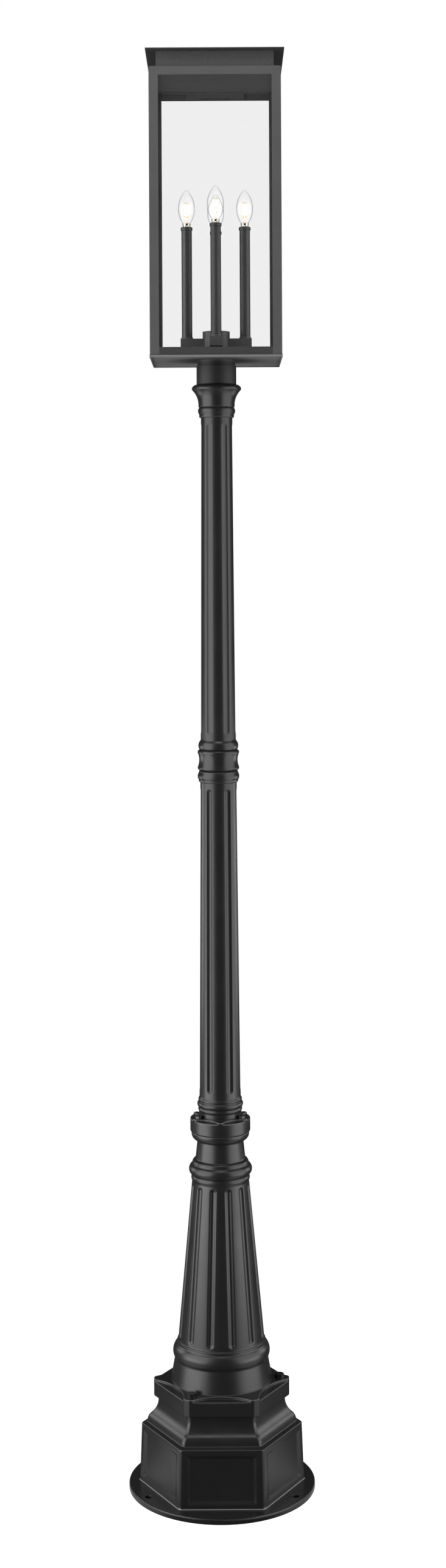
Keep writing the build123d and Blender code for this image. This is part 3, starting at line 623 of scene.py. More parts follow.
def run_end(points, start):
    """The last point of the even bend that starts at a point, or the next point where there is no bend."""
    last, bend = start + 1, 0.0
    while last + 1 < len(points):
        back = Vector(points[last]) - Vector(points[last - 1])
        ahead = Vector(points[last + 1]) - Vector(points[last])
        turn = back.angle_signed(ahead)
        even = max(back.length, ahead.length) < EVEN_RATIO * min(back.length, ahead.length)
        if not even or turn * bend < 0 or not LEAST_BEND < abs(turn) < MOST_BEND:
            break
        bend = turn
        last += 1
    return last


def true_arcs(points):
    """Puts smooth arcs in place of the short straight steps of a meshed outline."""
    apart = [point for point, after in zip(points, points[1:]) if math.dist(point, after) > HAIR]
    points = apart + [points[-1]]
    smooth, number = [points[0]], 0
    while number < len(points) - 1:
        last = run_end(points, number)
        if last - number >= LEAST_STEPS:
            smooth += arc_through(points[number], points[(number + last) // 2], points[last])[1:]
        else:
            last = number + 1
            smooth.append(points[last])
        number = last
    return smooth


quarter = arc((0.0, 0.0), 1.0, 0.0, math.pi / 2, 6)
print("a quarter circle of", len(quarter), "points becomes one of", len(true_arcs(quarter)))

# %% Rays that find a solid's outline
SLACK = 0.02 * MM
STEP_FACE = 0.12 * MM


def section(surface, middle, turn):
    """Radii of a solid's outside and of its bore, seen from its axis. A solid with no bore there has 0."""
    ray = Vector((math.cos(turn), math.sin(turn), 0.0))
    outer = surface.ray_cast(middle + ray, -ray, 1.0)[0]
    inner = surface.ray_cast(middle, ray)[0]
    if outer is None or inner is None:
        return None
    radius, hollow = (outer - middle).length, (inner - middle).length
    return radius, hollow if hollow < radius - STEP_FACE else 0.0


def wall(node, centre=(0.0, 0.0), turn=None, least=1):
    """Outline of a turned piece: up its outside and down its bore, as points of (radius, height).
    Levels with fewer corners than the least are left out: they belong to the ends of its flutes."""
    mesh = frame["nodes"][node].data
    corners = [vertex.co for vertex in mesh.vertices]
    surface = BVHTree.FromPolygons(corners, [face.vertices for face in mesh.polygons])
    axis = Vector((*centre, 0.0))
    turns = {}
    for corner in corners:
        spot = corner - axis
        there = math.atan2(spot.y, spot.x) if turn is None else turn
        turns.setdefault(round(corner.z, 5), set()).add(round(there, 3))
    outside, bore = [], []
    for level in sorted(level for level in turns if len(turns[level]) >= least):
        for side in (-HAIR, HAIR):
            middle = axis + Vector((0.0, 0.0, level + side))
            radii = [section(surface, middle, there) for there in turns[level]]
            radii = [pair for pair in radii if pair]
            if radii:
                outside.append((max(outer for outer, _ in radii), level))
                bore.append((min(inner for _, inner in radii), level))
    return true_arcs(thin_out(outside, SLACK)), true_arcs(thin_out(bore[::-1], SLACK))


print("the capital's outside has", len(wall("capital")[0]), "points")

# %% Soft corners and added levels
SOFT_PARTS, SOFT_REACH = 5, 8
SOFT_SLACK = 0.75 * SLACK


def even_steps(points, step):
    """Points at even steps along an outline, with its first and its last."""
    made, ahead = [points[0]], step
    for start, end in zip(points, points[1:]):
        length = math.dist(start, end)
        while ahead <= length:
            made.append(tuple(Vector(start).lerp(Vector(end), ahead / length)))
            ahead += step
        ahead -= length
    return made + [points[-1]]


def soften(points, radius):
    """Rounds the corners of an outline: each point moves to the mean of those around it, which leaves
    straight stretches as they are. The two ends stay."""
    fine = [Vector(point) for point in even_steps(points, radius / SOFT_PARTS)]
    soft = []
    for number in range(len(fine)):
        reach = min(SOFT_REACH, number, len(fine) - 1 - number)
        total = Vector((0.0, 0.0))
        for offset in range(-reach, reach + 1):
            total += fine[number + offset] * (reach + 1 - abs(offset))
        soft.append(tuple(total / (reach + 1) ** 2))
    return thin_out(soft, SOFT_SLACK)


def add_levels(points, levels, least_radius):
    """Adds points to an outline's outside where it crosses the levels."""
    full = [points[0]]
    for start, end in zip(points, points[1:]):
        low, high = start[1], end[1]
        if min(start[0], end[0]) > least_radius and high > low:
            for level in levels:
                if low + HAIR < level < high - HAIR:
                    share = (level - low) / (high - low)
                    full.append((start[0] + (end[0] - start[0]) * share, level))
        full.append(end)
    return full


print("corners are rounded over", 2 * SOFT_REACH / SOFT_PARTS, "times their radius")

# %% [markdown]
# ## From outline to piece
# A geometry tree runs on a bare mesh, its result is turned into a plain mesh, and the finished
# mesh becomes a piece that rides on its body and hides the solid that it stands for. A live modifier
# would keep the tree open to change, but a plain mesh is what can be exported.

# %% Mesh tools
BEVEL_SEGMENTS, BEVEL_ANGLE = 2, math.radians(25)


def line_mesh(points):
    """An outline as a chain of vertices in the XZ plane."""
    mesh = bpy.data.meshes.new("outline")
    edges = [(number, number + 1) for number in range(len(points) - 1)]
    mesh.from_pydata([(x, 0.0, z) for x, z in points], edges, [])
    return mesh


def blank(mesh):
    """A passing object that holds a mesh while modifiers work on it."""
    made = bpy.data.objects.new("blank", mesh)
    scene.collection.objects.link(made)
    return made


def applied(made):
    """The mesh of a passing object with its modifiers applied."""
    graph = bpy.context.evaluated_depsgraph_get()
    mesh = bpy.data.meshes.new_from_object(made.evaluated_get(graph))
    bpy.data.objects.remove(made)
    return mesh


def grow(tree, mesh, values):
    """Runs a geometry tree with named values on a mesh."""
    made = blank(mesh)
    modifier = made.modifiers.new("shape", "NODES")
    modifier.node_group = tree
    for item in tree.interface.items_tree:
        if item.in_out == "INPUT" and item.name in values:
            modifier[item.identifier] = values[item.name]
    return applied(made)


def bevelled(mesh, width):
    """Soft edges on a mesh with hard ones."""
    made = blank(mesh)
    bevel = made.modifiers.new("soft edges", "BEVEL")
    bevel.width = width
    bevel.segments = BEVEL_SEGMENTS
    bevel.limit_method = "ANGLE"
    bevel.angle_limit = BEVEL_ANGLE
    bevel.harden_normals = True
    return applied(made)


def joined(*meshes):
    """One mesh from several, with each face keeping its finish."""
    shape = bmesh.new()
    finishes = []
    for mesh in meshes:
        first = len(shape.faces)
        shape.from_mesh(mesh)
        shape.faces.ensure_lookup_table()
        for face in shape.faces[first:]:
            finish = mesh.materials[face.material_index]
            if finish not in finishes:
                finishes.append(finish)
            face.material_index = finishes.index(finish)
    made = bpy.data.meshes.new("joined")
    shape.to_mesh(made)
    shape.free()
    for finish in finishes:
        made.materials.append(finish)
    return made


def settle(name, mesh, body, *nodes):
    """Makes a piece of a finished mesh, ties it to its body and hides the solids that it stands for."""
    piece = bpy.data.objects.new(name, mesh)
    scene.collection.objects.link(piece)
    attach(piece, body)
    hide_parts(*nodes)
    print(name, "has", len(mesh.polygons), "faces and stands for", ", ".join(nodes))


print("soft edges of a mesh have", BEVEL_SEGMENTS, "segments")

# %% [markdown]
# ## A potter's wheel with flutes
# The post's parts are turned shapes, and some have flutes: long shallow grooves with round ends.
# Booleans could cut the flutes, but they leave ragged faces and sharp lips. One geometry tree makes all of
# them instead. It lays a grid, wraps it round the axis along the outline, and presses the flutes in by
# a formula: how far a point lies from the flute's centre line sets its depth. The same wheel cuts
# screw threads, whose groove moves up by the pitch with each turn.

# %% Grid, flutes and threads
WELD = 0.01 * MM


def finish_tree(tree, shape, finish):
    """The end of every geometry tree: realize, weld, smooth and give the finish."""
    shape = put(tree, "GeometryNodeRealizeInstances", {"Geometry": shape}).outputs[0]
    shape = put(tree, "GeometryNodeMergeByDistance", {"Geometry": shape, "Distance": WELD}).outputs[0]
    shape = put(tree, "GeometryNodeSetShadeSmooth", {0: shape}).outputs[0]
    shape = put(tree, "GeometryNodeSetMaterial", {"Geometry": shape, "Material": finish}).outputs[0]
    put(tree, "NodeGroupOutput", {0: shape})


def outline_grid(tree, outline, stations):
    """A grid with one column of vertices for each station round the axis, and its place on the outline."""
    count = put(tree, "GeometryNodeAttributeDomainSize", {"Geometry": outline},
                component="MESH").outputs["Point Count"]
    grid = put(tree, "GeometryNodeMeshGrid", {
        "Vertices X": calc(tree, "ADD", stations, 1.0), "Vertices Y": count}).outputs["Mesh"]
    index = put(tree, "GeometryNodeInputIndex").outputs[0]
    station = calc(tree, "FLOOR", calc(tree, "DIVIDE", calc(tree, "ADD", index, 0.5), count))
    place = put(tree, "GeometryNodeInputPosition").outputs[0]
    sample = put(tree, "GeometryNodeSampleIndex", {
        "Geometry": outline, "Value": place, "Index": calc(tree, "MODULO", index, count)},
        data_type="FLOAT_VECTOR").outputs[0]
    radius, _, height = put(tree, "ShaderNodeSeparateXYZ", {0: sample}).outputs
    return grid, station, radius, height


def flute_depth(tree, use, turn, radius, height):
    """How deep the flutes cut at a point."""
    half = calc(tree, "DIVIDE", math.pi, use["Flutes"])
    aside = calc(tree, "SUBTRACT", turn, use["Flute Turn"])
    aside = calc(tree, "WRAP", aside, half, calc(tree, "MULTIPLY", half, -1.0))
    across = calc(tree, "MULTIPLY", aside, radius)
    below = calc(tree, "SUBTRACT", use["Flute Low"], height)
    above = calc(tree, "SUBTRACT", height, use["Flute High"])
    beyond = calc(tree, "MAXIMUM", calc(tree, "MAXIMUM", below, above), 0.0)
    spread = calc(tree, "MULTIPLY_ADD", across, across, calc(tree, "MULTIPLY", beyond, beyond))
    reach = calc(tree, "POWER", calc(tree, "MULTIPLY", use["Flute Width"], 0.5), 2.0)
    cut = calc(tree, "SUBTRACT", 1.0, calc(tree, "DIVIDE", spread, reach))
    cut = calc(tree, "SMOOTH_MAX", cut, 0.0, use["Lip"])
    depth = calc(tree, "MULTIPLY", cut, use["Flute Depth"])
    return calc(tree, "MULTIPLY", depth, calc(tree, "GREATER_THAN", radius, use["Bare Radius"]))


def thread_depth(tree, use, turn, height):
    """How deep the screw thread cuts at a point."""
    rise = calc(tree, "MULTIPLY", calc(tree, "DIVIDE", height, use["Thread Pitch"]), math.tau)
    wave = calc(tree, "MULTIPLY_ADD", calc(tree, "COSINE", calc(tree, "SUBTRACT", rise, turn)), 0.5, 0.5)
    begun = calc(tree, "GREATER_THAN", height, use["Thread Low"])
    ended = calc(tree, "LESS_THAN", height, use["Thread High"])
    depth = calc(tree, "MULTIPLY", wave, use["Thread Depth"])
    return calc(tree, "MULTIPLY", depth, calc(tree, "MULTIPLY", begun, ended))


print("seams are welded within", WELD / MM, "mm")


# %% Trees for turned shapes and rings of copies
def make_turning_tree():
    """The wheel: a grid wrapped round the Z axis along an outline, with flutes and a thread cut in."""
    tree = group(
        "turned shape",
        [("Outline", GEOMETRY, None), ("Stations", WHOLE, 128), ("Flutes", WHOLE, 1),
         ("Flute Width", NUMBER, 0.01), ("Flute Depth", NUMBER, 0.0), ("Flute Low", NUMBER, 0.0),
         ("Flute High", NUMBER, 0.0), ("Flute Turn", NUMBER, 0.0), ("Lip", NUMBER, 0.35),
         ("Bare Radius", NUMBER, 0.0), ("Thread Pitch", NUMBER, 0.001), ("Thread Depth", NUMBER, 0.0),
         ("Thread Low", NUMBER, 0.0), ("Thread High", NUMBER, 0.0), ("Finish", FINISH, None)],
        [("Shape", GEOMETRY)], "GeometryNodeTree")
    use = put(tree, "NodeGroupInput").outputs
    grid, station, radius, height = outline_grid(tree, use["Outline"], use["Stations"])
    turn = calc(tree, "MULTIPLY", station, calc(tree, "DIVIDE", math.tau, use["Stations"]))
    flutes = flute_depth(tree, use, turn, radius, height)
    cut = calc(tree, "ADD", flutes, thread_depth(tree, use, turn, height))
    radius = calc(tree, "SUBTRACT", radius, cut)
    place = put(tree, "ShaderNodeCombineXYZ", {
        0: calc(tree, "MULTIPLY", radius, calc(tree, "COSINE", turn)),
        1: calc(tree, "MULTIPLY", radius, calc(tree, "SINE", turn)), 2: height}).outputs[0]
    shape = put(tree, "GeometryNodeSetPosition", {"Geometry": grid, "Position": place}).outputs[0]
    finish_tree(tree, shape, use["Finish"])
    return tree


def make_copies_tree():
    """Copies of a mesh, spread evenly about the Z axis."""
    tree = group(
        "ring of copies",
        [("Shape", GEOMETRY, None), ("Copies", WHOLE, 4), ("Radius", NUMBER, 0.0), ("Turn", NUMBER, 0.0),
         ("Finish", FINISH, None)],
        [("Ring", GEOMETRY)], "GeometryNodeTree")
    use = put(tree, "NodeGroupInput").outputs
    index = put(tree, "GeometryNodeInputIndex").outputs[0]
    step = calc(tree, "DIVIDE", math.tau, use["Copies"])
    turn = calc(tree, "MULTIPLY_ADD", index, step, use["Turn"])
    place = put(tree, "ShaderNodeCombineXYZ", {
        0: calc(tree, "MULTIPLY", use["Radius"], calc(tree, "COSINE", turn)),
        1: calc(tree, "MULTIPLY", use["Radius"], calc(tree, "SINE", turn))}).outputs[0]
    points = put(tree, "GeometryNodePoints", {"Count": use["Copies"], "Position": place}).outputs[0]
    turned = put(tree, "ShaderNodeCombineXYZ", {2: turn}).outputs[0]
    turned = put(tree, "FunctionNodeEulerToRotation", {0: turned}).outputs[0]
    shape = put(tree, "GeometryNodeInstanceOnPoints", {
        "Points": points, "Instance": use["Shape"], "Rotation": turned}).outputs[0]
    finish_tree(tree, shape, use["Finish"])
    return tree


turning_tree = make_turning_tree()
copies_tree = make_copies_tree()
for made in (turning_tree, copies_tree):
    print(made.name, "has", len(made.nodes), "nodes")

# %% From an outline to a turned shape
FLUTE_STEP, FLUTE_RUN_IN, FLUTE_SPANS = 0.8 * MM, 1 * MM, 12
THREAD_SPANS = 10
ROUND_STATIONS = 128


def flute_sizes(count, width, depth, low, high, first, bare):
    """Values for the wheel's flutes. The width, depth and bare radius are in millimetres."""
    half = width * MM / 2
    return {"Flutes": count, "Flute Width": width * MM, "Flute Depth": depth * MM, "Flute Turn": first,
            "Flute Low": low + half, "Flute High": high - half, "Bare Radius": bare * MM}


def flute_levels(sizes):
    """Levels at which a fluted wall needs vertices: close together at the round ends."""
    low, high, half = sizes["Flute Low"], sizes["Flute High"], sizes["Flute Width"] / 2
    levels = []
    for number in range(int((half + 2 * FLUTE_RUN_IN) / FLUTE_STEP) + 2):
        levels.append(low + FLUTE_RUN_IN - number * FLUTE_STEP)
        levels.append(high - FLUTE_RUN_IN + number * FLUTE_STEP)
    for number in range(1, FLUTE_SPANS):
        levels.append(low + (high - low) * number / FLUTE_SPANS)
    return sorted(levels)


def thread_levels(sizes):
    """Levels at which a threaded wall needs vertices: several for each turn."""
    low, high, step = sizes["Thread Low"], sizes["Thread High"], sizes["Thread Pitch"] / THREAD_SPANS
    return [low + step * number for number in range(int((high - low) / step) + 1)]


def turn_shape(outline, finish, edge, stations=ROUND_STATIONS, **extra):
    """A turned shape from its outline, with soft edges and maybe flutes or a thread."""
    outline = soften(outline, edge)
    if "Flute Width" in extra:
        outline = add_levels(outline, flute_levels(extra), extra["Bare Radius"])
    if "Thread Pitch" in extra:
        outline = add_levels(outline, thread_levels(extra), 0.0)
    return grow(turning_tree, line_mesh(outline), {"Stations": stations, "Finish": finish, **extra})


def ring_outline(outside, bore):
    """The closed outline of a hollow piece, from the foot of its bore all the way round."""
    return [bore[-1]] + outside + bore


print("a turned shape has", ROUND_STATIONS, "stations unless it has flutes")

# %% [markdown]
# ## Shafts, collar and capital
# Two slim shafts stand on each other, with a waisted collar round their joint and a bell on top. Plain turned
# pieces need only their outline. A shaft also has six flutes that stop short of its rings, so its
# longest straight stretch is found first, and the flutes are laid in it with a margin.

# %% Upper shaft, collar and capital
FULL_CIRCLE = 45
CAST_EDGE, BELL_EDGE = 1.6 * MM, 2.2 * MM
SHAFT_FLUTES, SHAFT_FLUTE_W, SHAFT_MARGIN = 6, 14.0, 13 * MM
SHAFT_STATIONS = 240
UPPER_FLUTE_DEPTH, LOWER_FLUTE_DEPTH = 2.2, 3.5
UPPER_BARE, LOWER_BARE = 31, 36
STRETCH_SLACK = 0.3 * MM


def straight_stretch(outside):
    """An outline with its longest straight stretch made quite straight, and the stretch's two heights."""
    best = (0.0, 0, 1)
    for first in range(len(outside) - 1):
        last = first + 1
        while last + 1 < len(outside) and len(thin_out(outside[first:last + 2], STRETCH_SLACK)) == 2:
            last += 1
        best = max(best, (outside[last][1] - outside[first][1], first, last))
    _, first, last = best
    return outside[:first + 1] + outside[last:], outside[first][1], outside[last][1]


def make_shaft(outside, bore, bare, depth):
    """A tapered shaft with flutes that stop short of its rings. Walls inside the bare radius stay plain."""
    outside, low, high = straight_stretch(outside)
    low, high = low + SHAFT_MARGIN, high - SHAFT_MARGIN
    print("flutes between", round(low, 4), "and", round(high, 4), "m")
    flutes = flute_sizes(SHAFT_FLUTES, SHAFT_FLUTE_W, depth, low, high, 0.0, bare)
    return turn_shape(ring_outline(outside, bore), post_coat, CAST_EDGE, SHAFT_STATIONS, **flutes)


upper_shaft = make_shaft(*wall("upper_shaft", least=FULL_CIRCLE), UPPER_BARE, UPPER_FLUTE_DEPTH)
settle("cast_upper_shaft", upper_shaft, "post", "upper_shaft")
plain_castings = [("cast_collar", "coupling_collar", CAST_EDGE), ("cast_capital", "capital", BELL_EDGE)]
for name, node, edge in plain_castings:
    settle(name, turn_shape(ring_outline(*wall(node)), post_coat, edge), "post", node)

# %% [markdown]
# ## Scalloped flanges
# Two flanges are bolted down: a hexagonal one under the column and a round one under the lower shaft.
# Both have six shallow scallops in their top face that leave pads for the bolts. The scallops could be cut
# with booleans, but a flange repeats every sixty degrees: one slice is drawn by its plan, with clean
# faces that take a bevel well, and a geometry tree repeats it.

# %% Flange slice
SIDES, SIXTH = 6, math.radians(60)
SCALLOP_STEPS, HOLE_STEPS = 20, 16


def scallop_arc(inner, end):
    """The scallop's edge between two mirrored points of the rim, through its innermost point."""
    sagitta = end[0] - inner
    radius = (end[1] ** 2 + sagitta ** 2) / (2 * sagitta)
    middle = (inner + radius, 0.0)
    turn = math.atan2(end[1], end[0] - middle[0])
    return arc(middle, radius, math.tau - turn, turn, SCALLOP_STEPS)


def flange_slice(land, mouth, bite, inner, low, high, sink, chamfer):
    """A sixth of a flange, from its plan: the rim's land beside the scallop, the scallop's mouth in the
    rim and its bite into the top face. It mirrors about the X axis."""
    shape = bmesh.new()
    mirrored = [(x, -y) for x, y in reversed(land)]
    rim = mirrored + mouth + land
    hole = arc((0, 0), inner, -SIXTH / 2, SIXTH / 2, HOLE_STEPS)

    def row(points, level, inset=0.0):
        made = []
        for x, y in points:
            share = 1 - inset / math.hypot(x, y)
            made.append(shape.verts.new((x * share, y * share, level)))
        return made

    def skirt(lower, upper):
        for a, b, c, d in zip(lower, lower[1:], upper[1:], upper):
            shape.faces.new((a, b, c, d))

    foot = row(rim, low, chamfer)
    base = row(rim, low + chamfer)
    step = row(rim, high - sink)
    skirt(foot, base)
    skirt(base, step)
    first, last = len(mirrored), len(rim) - len(land)
    left = row(mirrored, high)
    right = row(land, high)
    skirt(step[:first], left)
    skirt(step[last:], right)
    floor_edge = row(bite[1:-1], high - sink)
    brow = row(bite[1:-1], high)
    inside = [step[first - 1]] + floor_edge + [step[last]]
    skirt(inside, [left[-1]] + brow + [right[0]])
    shape.faces.new(step[first - 1:last + 1] + floor_edge[::-1])
    rear = row(hole, high)
    shape.faces.new(left + brow + right + rear[::-1])
    under = row(hole, low)
    shape.faces.new(foot[::-1] + under)
    skirt(rear, under)
    mesh = bpy.data.meshes.new("flange slice")
    shape.to_mesh(mesh)
    shape.free()
    return mesh


print("a flange has", SIDES, "scallops of", SCALLOP_STEPS, "steps")

# %% Column with its hexagonal flange
HEX_CORNER = 145 * MM
HEX_CUT = 3.2 * MM
HEX_LOW, HEX_HIGH = 187 * MM, 224 * MM
HEX_SINK = 5 * MM
HEX_PAD = 5 * MM
HEX_CHAMFER = 2.5 * MM
SCALLOP_LAND = 1.2 * MM
PLUG = 6 * MM
COLUMN_FLUTES, COLUMN_FLUTE_W, COLUMN_FLUTE_DEPTH = 12, 13.5, 4.0
COLUMN_FIRST_FLUTE = math.radians(15)
COLUMN_MARGIN, COLUMN_BARE = 6 * MM, 57
COLUMN_STATIONS = 26 * COLUMN_FLUTES


def make_hex_flange(skirt_radius):
    """The column's flange, with cut corners and a scallop in each side."""
    flat = HEX_CORNER * math.cos(SIXTH / 2)
    corner = HEX_CORNER - HEX_CUT
    cut_y = (corner - flat * math.cos(SIXTH / 2)) / math.sin(SIXTH / 2)
    end = (flat, HEX_CORNER / 2 - 2 * HEX_CUT - HEX_PAD)
    tip = (corner * math.cos(SIXTH / 2), corner * math.sin(SIXTH / 2))
    bite = scallop_arc(skirt_radius + SCALLOP_LAND, end)
    mesh = flange_slice([end, (flat, cut_y), tip], [], bite, skirt_radius - PLUG, HEX_LOW, HEX_HIGH,
                        HEX_SINK, HEX_CHAMFER)
    ring = grow(copies_tree, mesh, {"Copies": SIDES, "Turn": SIXTH / 2, "Finish": post_coat})
    return bevelled(ring, CAST_EDGE)


def above_flange(outside, level):
    """The outline above a flange, which starts inside it so that the two join, and its radius there."""
    radius = min(point[0] for point in outside if abs(point[1] - level) < 2 * HAIR)
    above = [point for point in outside if point[1] > level + 2 * HAIR]
    return [(radius - PLUG, level), (radius, level)] + above, radius


def make_column():
    """The tapered column with twelve flutes, joined to its flange."""
    outside, bore = wall("column", least=FULL_CIRCLE)
    outside, skirt_radius = above_flange(outside, HEX_HIGH)
    outside, low, high = straight_stretch(outside)
    low, high = low + COLUMN_MARGIN, high - COLUMN_MARGIN
    print("column flutes between", round(low, 4), "and", round(high, 4), "m")
    flutes = flute_sizes(COLUMN_FLUTES, COLUMN_FLUTE_W, COLUMN_FLUTE_DEPTH, low, high, COLUMN_FIRST_FLUTE,
                         COLUMN_BARE)
    column = turn_shape(ring_outline(outside, bore), post_coat, CAST_EDGE, COLUMN_STATIONS, **flutes)
    return joined(column, make_hex_flange(skirt_radius))


settle("cast_column", make_column(), "post", "column")

# %% Lower shaft with its round flange
ROUND_FLANGE = 62.9 * MM
ROUND_LOW, ROUND_HIGH = 742 * MM, 773 * MM
ROUND_SINK = 3.5 * MM
ROUND_PAD = 5 * MM
ROUND_CHAMFER, ROUND_EDGE = 2 * MM, 0.8 * MM
LAND_STEPS, MOUTH_STEPS = 4, 12


def make_round_flange(neck_radius):
    """The lower shaft's flange, round and with six scallops."""
    turn = SIXTH / 2 - ROUND_PAD / ROUND_FLANGE
    land = arc((0, 0), ROUND_FLANGE, turn, SIXTH / 2, LAND_STEPS)
    mouth = arc((0, 0), ROUND_FLANGE, -turn, turn, MOUTH_STEPS)[1:-1]
    bite = scallop_arc(neck_radius + SCALLOP_LAND, land[0])
    mesh = flange_slice(land, mouth, bite, neck_radius - PLUG, ROUND_LOW, ROUND_HIGH,
                        ROUND_SINK, ROUND_CHAMFER)
    ring = grow(copies_tree, mesh, {"Copies": SIDES, "Finish": post_coat})
    return bevelled(ring, ROUND_EDGE)


def make_lower_shaft():
    """The lower shaft joined to its flange."""
    outside, bore = wall("lower_shaft", least=FULL_CIRCLE)
    outside, neck_radius = above_flange(outside, ROUND_HIGH)
    shaft = make_shaft(outside, bore, LOWER_BARE, LOWER_FLUTE_DEPTH)
    return joined(shaft, make_round_flange(neck_radius))


settle("cast_lower_shaft", make_lower_shaft(), "post", "lower_shaft")

# %% [markdown]
# ## The panelled plinth
# The foot is a hollow hexagon with a sunk panel in each side and an S-shaped shoulder above.
# Panels could be inset face by face, but the same grid as for the shafts also wraps round six flat sides,
# and a panel is pressed in by the distance to its edge. So its bevel has an even slope and soft lips.

# %% Tree for the plinth
PANEL_W, PANEL_LOW, PANEL_HIGH = 142 * MM, 21 * MM, 119 * MM
PANEL_BEVEL, PANEL_SINK = 7 * MM, 3.5 * MM
PANEL_LIP, PANEL_STEP = 0.25, 1 * MM
PLINTH_CUT, PLINTH_ROUND = 1.6 * MM, 0.8 * MM
PLINTH_SIDE = 96
NUDGE = 0.001
FACE_TURN = math.radians(30)
BESIDE_PANEL = math.radians(26.5)


def make_panel_tree():
    """A grid wrapped round six flat sides along an outline, with cut corners and a sunk panel in each."""
    tree = group(
        "panelled hexagon",
        [("Outline", GEOMETRY, None), ("Side Stations", WHOLE, 96), ("Corner Cut", NUMBER, 0.0),
         ("Corner Round", NUMBER, 0.001), ("Panel Width", NUMBER, 0.1), ("Panel Low", NUMBER, 0.0),
         ("Panel High", NUMBER, 0.1), ("Panel Bevel", NUMBER, 0.01), ("Panel Sink", NUMBER, 0.0),
         ("Bare Radius", NUMBER, 0.0), ("Finish", FINISH, None)],
        [("Casting", GEOMETRY)], "GeometryNodeTree")
    use = put(tree, "NodeGroupInput").outputs
    stations = calc(tree, "MULTIPLY", use["Side Stations"], SIDES)
    grid, station, flat, height = outline_grid(tree, use["Outline"], stations)
    side = calc(tree, "DIVIDE", station, use["Side Stations"])
    number = calc(tree, "FLOOR", calc(tree, "ADD", side, NUDGE))
    along = calc(tree, "MULTIPLY_ADD", calc(tree, "SUBTRACT", side, number), 2.0, -1.0)
    lean = calc(tree, "ARCTANGENT", calc(tree, "MULTIPLY", along, math.tan(SIXTH / 2)))
    on_flat = calc(tree, "DIVIDE", flat, calc(tree, "COSINE", lean))
    corner = calc(tree, "SUBTRACT", calc(tree, "DIVIDE", flat, math.cos(SIXTH / 2)), use["Corner Cut"])
    off = calc(tree, "SUBTRACT", SIXTH / 2, calc(tree, "ABSOLUTE", lean))
    on_corner = calc(tree, "DIVIDE", corner, calc(tree, "COSINE", off))
    radius = calc(tree, "SMOOTH_MIN", on_flat, on_corner, use["Corner Round"])
    across = calc(tree, "MULTIPLY", radius, calc(tree, "SINE", lean))
    out = calc(tree, "MULTIPLY", radius, calc(tree, "COSINE", lean))
    edge = calc(tree, "MULTIPLY_ADD", use["Panel Width"], 0.5,
                calc(tree, "MULTIPLY", calc(tree, "ABSOLUTE", across), -1.0))
    rise = calc(tree, "MINIMUM", calc(tree, "SUBTRACT", height, use["Panel Low"]),
                calc(tree, "SUBTRACT", use["Panel High"], height))
    inside = calc(tree, "DIVIDE", calc(tree, "MINIMUM", edge, rise), use["Panel Bevel"])
    inside = calc(tree, "SMOOTH_MAX", inside, 0.0, PANEL_LIP)
    inside = calc(tree, "SMOOTH_MIN", inside, 1.0, PANEL_LIP)
    sink = calc(tree, "MULTIPLY", inside, use["Panel Sink"])
    sink = calc(tree, "MULTIPLY", sink, calc(tree, "GREATER_THAN", flat, use["Bare Radius"]))
    out = calc(tree, "SUBTRACT", out, sink)
    turn = calc(tree, "MULTIPLY_ADD", number, SIXTH, FACE_TURN)
    spot = put(tree, "ShaderNodeCombineXYZ", {0: out, 1: across, 2: height}).outputs[0]
    spin = put(tree, "ShaderNodeVectorRotate", {"Vector": spot, "Angle": turn},
               rotation_type="Z_AXIS").outputs[0]
    shape = put(tree, "GeometryNodeSetPosition", {"Geometry": grid, "Position": spin}).outputs[0]
    finish_tree(tree, shape, use["Finish"])
    return tree


panel_tree = make_panel_tree()
print(panel_tree.name, "has", len(panel_tree.nodes), "nodes")


# %% Plinth
def panel_levels():
    """Levels at which the panelled sides need vertices: close together at the panel's bevels."""
    levels = []
    for number in range(-1, int(PANEL_BEVEL / PANEL_STEP) + 2):
        levels.append(PANEL_LOW + number * PANEL_STEP)
        levels.append(PANEL_HIGH - number * PANEL_STEP)
    return sorted(levels)


def make_plinth():
    """The plinth, whose outline is read beside a panel and brought to the middle of a side."""
    outside, bore = wall("plinth", turn=FACE_TURN + BESIDE_PANEL)
    share = math.cos(BESIDE_PANEL)
    flats = [(radius * share, level) for radius, level in ring_outline(outside, bore)]
    bare = min(radius for radius, _ in outside) * share - MM
    outline = add_levels(soften(flats, CAST_EDGE), panel_levels(), bare)
    return grow(panel_tree, line_mesh(outline), {
        "Side Stations": PLINTH_SIDE, "Corner Cut": PLINTH_CUT, "Corner Round": PLINTH_ROUND,
        "Panel Width": PANEL_W, "Panel Low": PANEL_LOW, "Panel High": PANEL_HIGH,
        "Panel Bevel": PANEL_BEVEL, "Panel Sink": PANEL_SINK, "Bare Radius": bare, "Finish": post_coat})


settle("cast_plinth", make_plinth(), "post", "plinth")

# %% [markdown]
# ## Candle bulbs
# Each bulb has three pieces: a nickel cap with a rolled screw thread, a thin glass drawn to a
# point, and the stem with its four upright filaments. They could be drawn four times over, but they are
# drawn once on the axis by the wheel, and then put in the place of each candle.

# %% Parts of a bulb
CAP_LOW, CAP_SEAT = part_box("bulb_cap_1")[0][2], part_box("sleeve_1")[1][2]
THREAD_PITCH, THREAD_CUT = 2.54 * MM, 0.6 * MM
FILAMENTS = 4
FILAMENT_CIRCLE = 5 * MM
WIRE_R, WIRE_SIDES, WIRE_LEVELS = 0.3 * MM, 8, (13.2, 43.0)
BULB_STATIONS, STEM_STATIONS, FILAMENT_STATIONS = 64, 24, 12
CAP_EDGE, SHELL_EDGE, STEM_EDGE, FILAMENT_EDGE = 0.2 * MM, 2 * MM, 0.4 * MM, 0.2 * MM


def candle_axis(number):
    """Where a candle stands, as x and y."""
    low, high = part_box(f"bulb_glass_{number}")
    return (low[0] + high[0]) / 2, (low[1] + high[1]) / 2


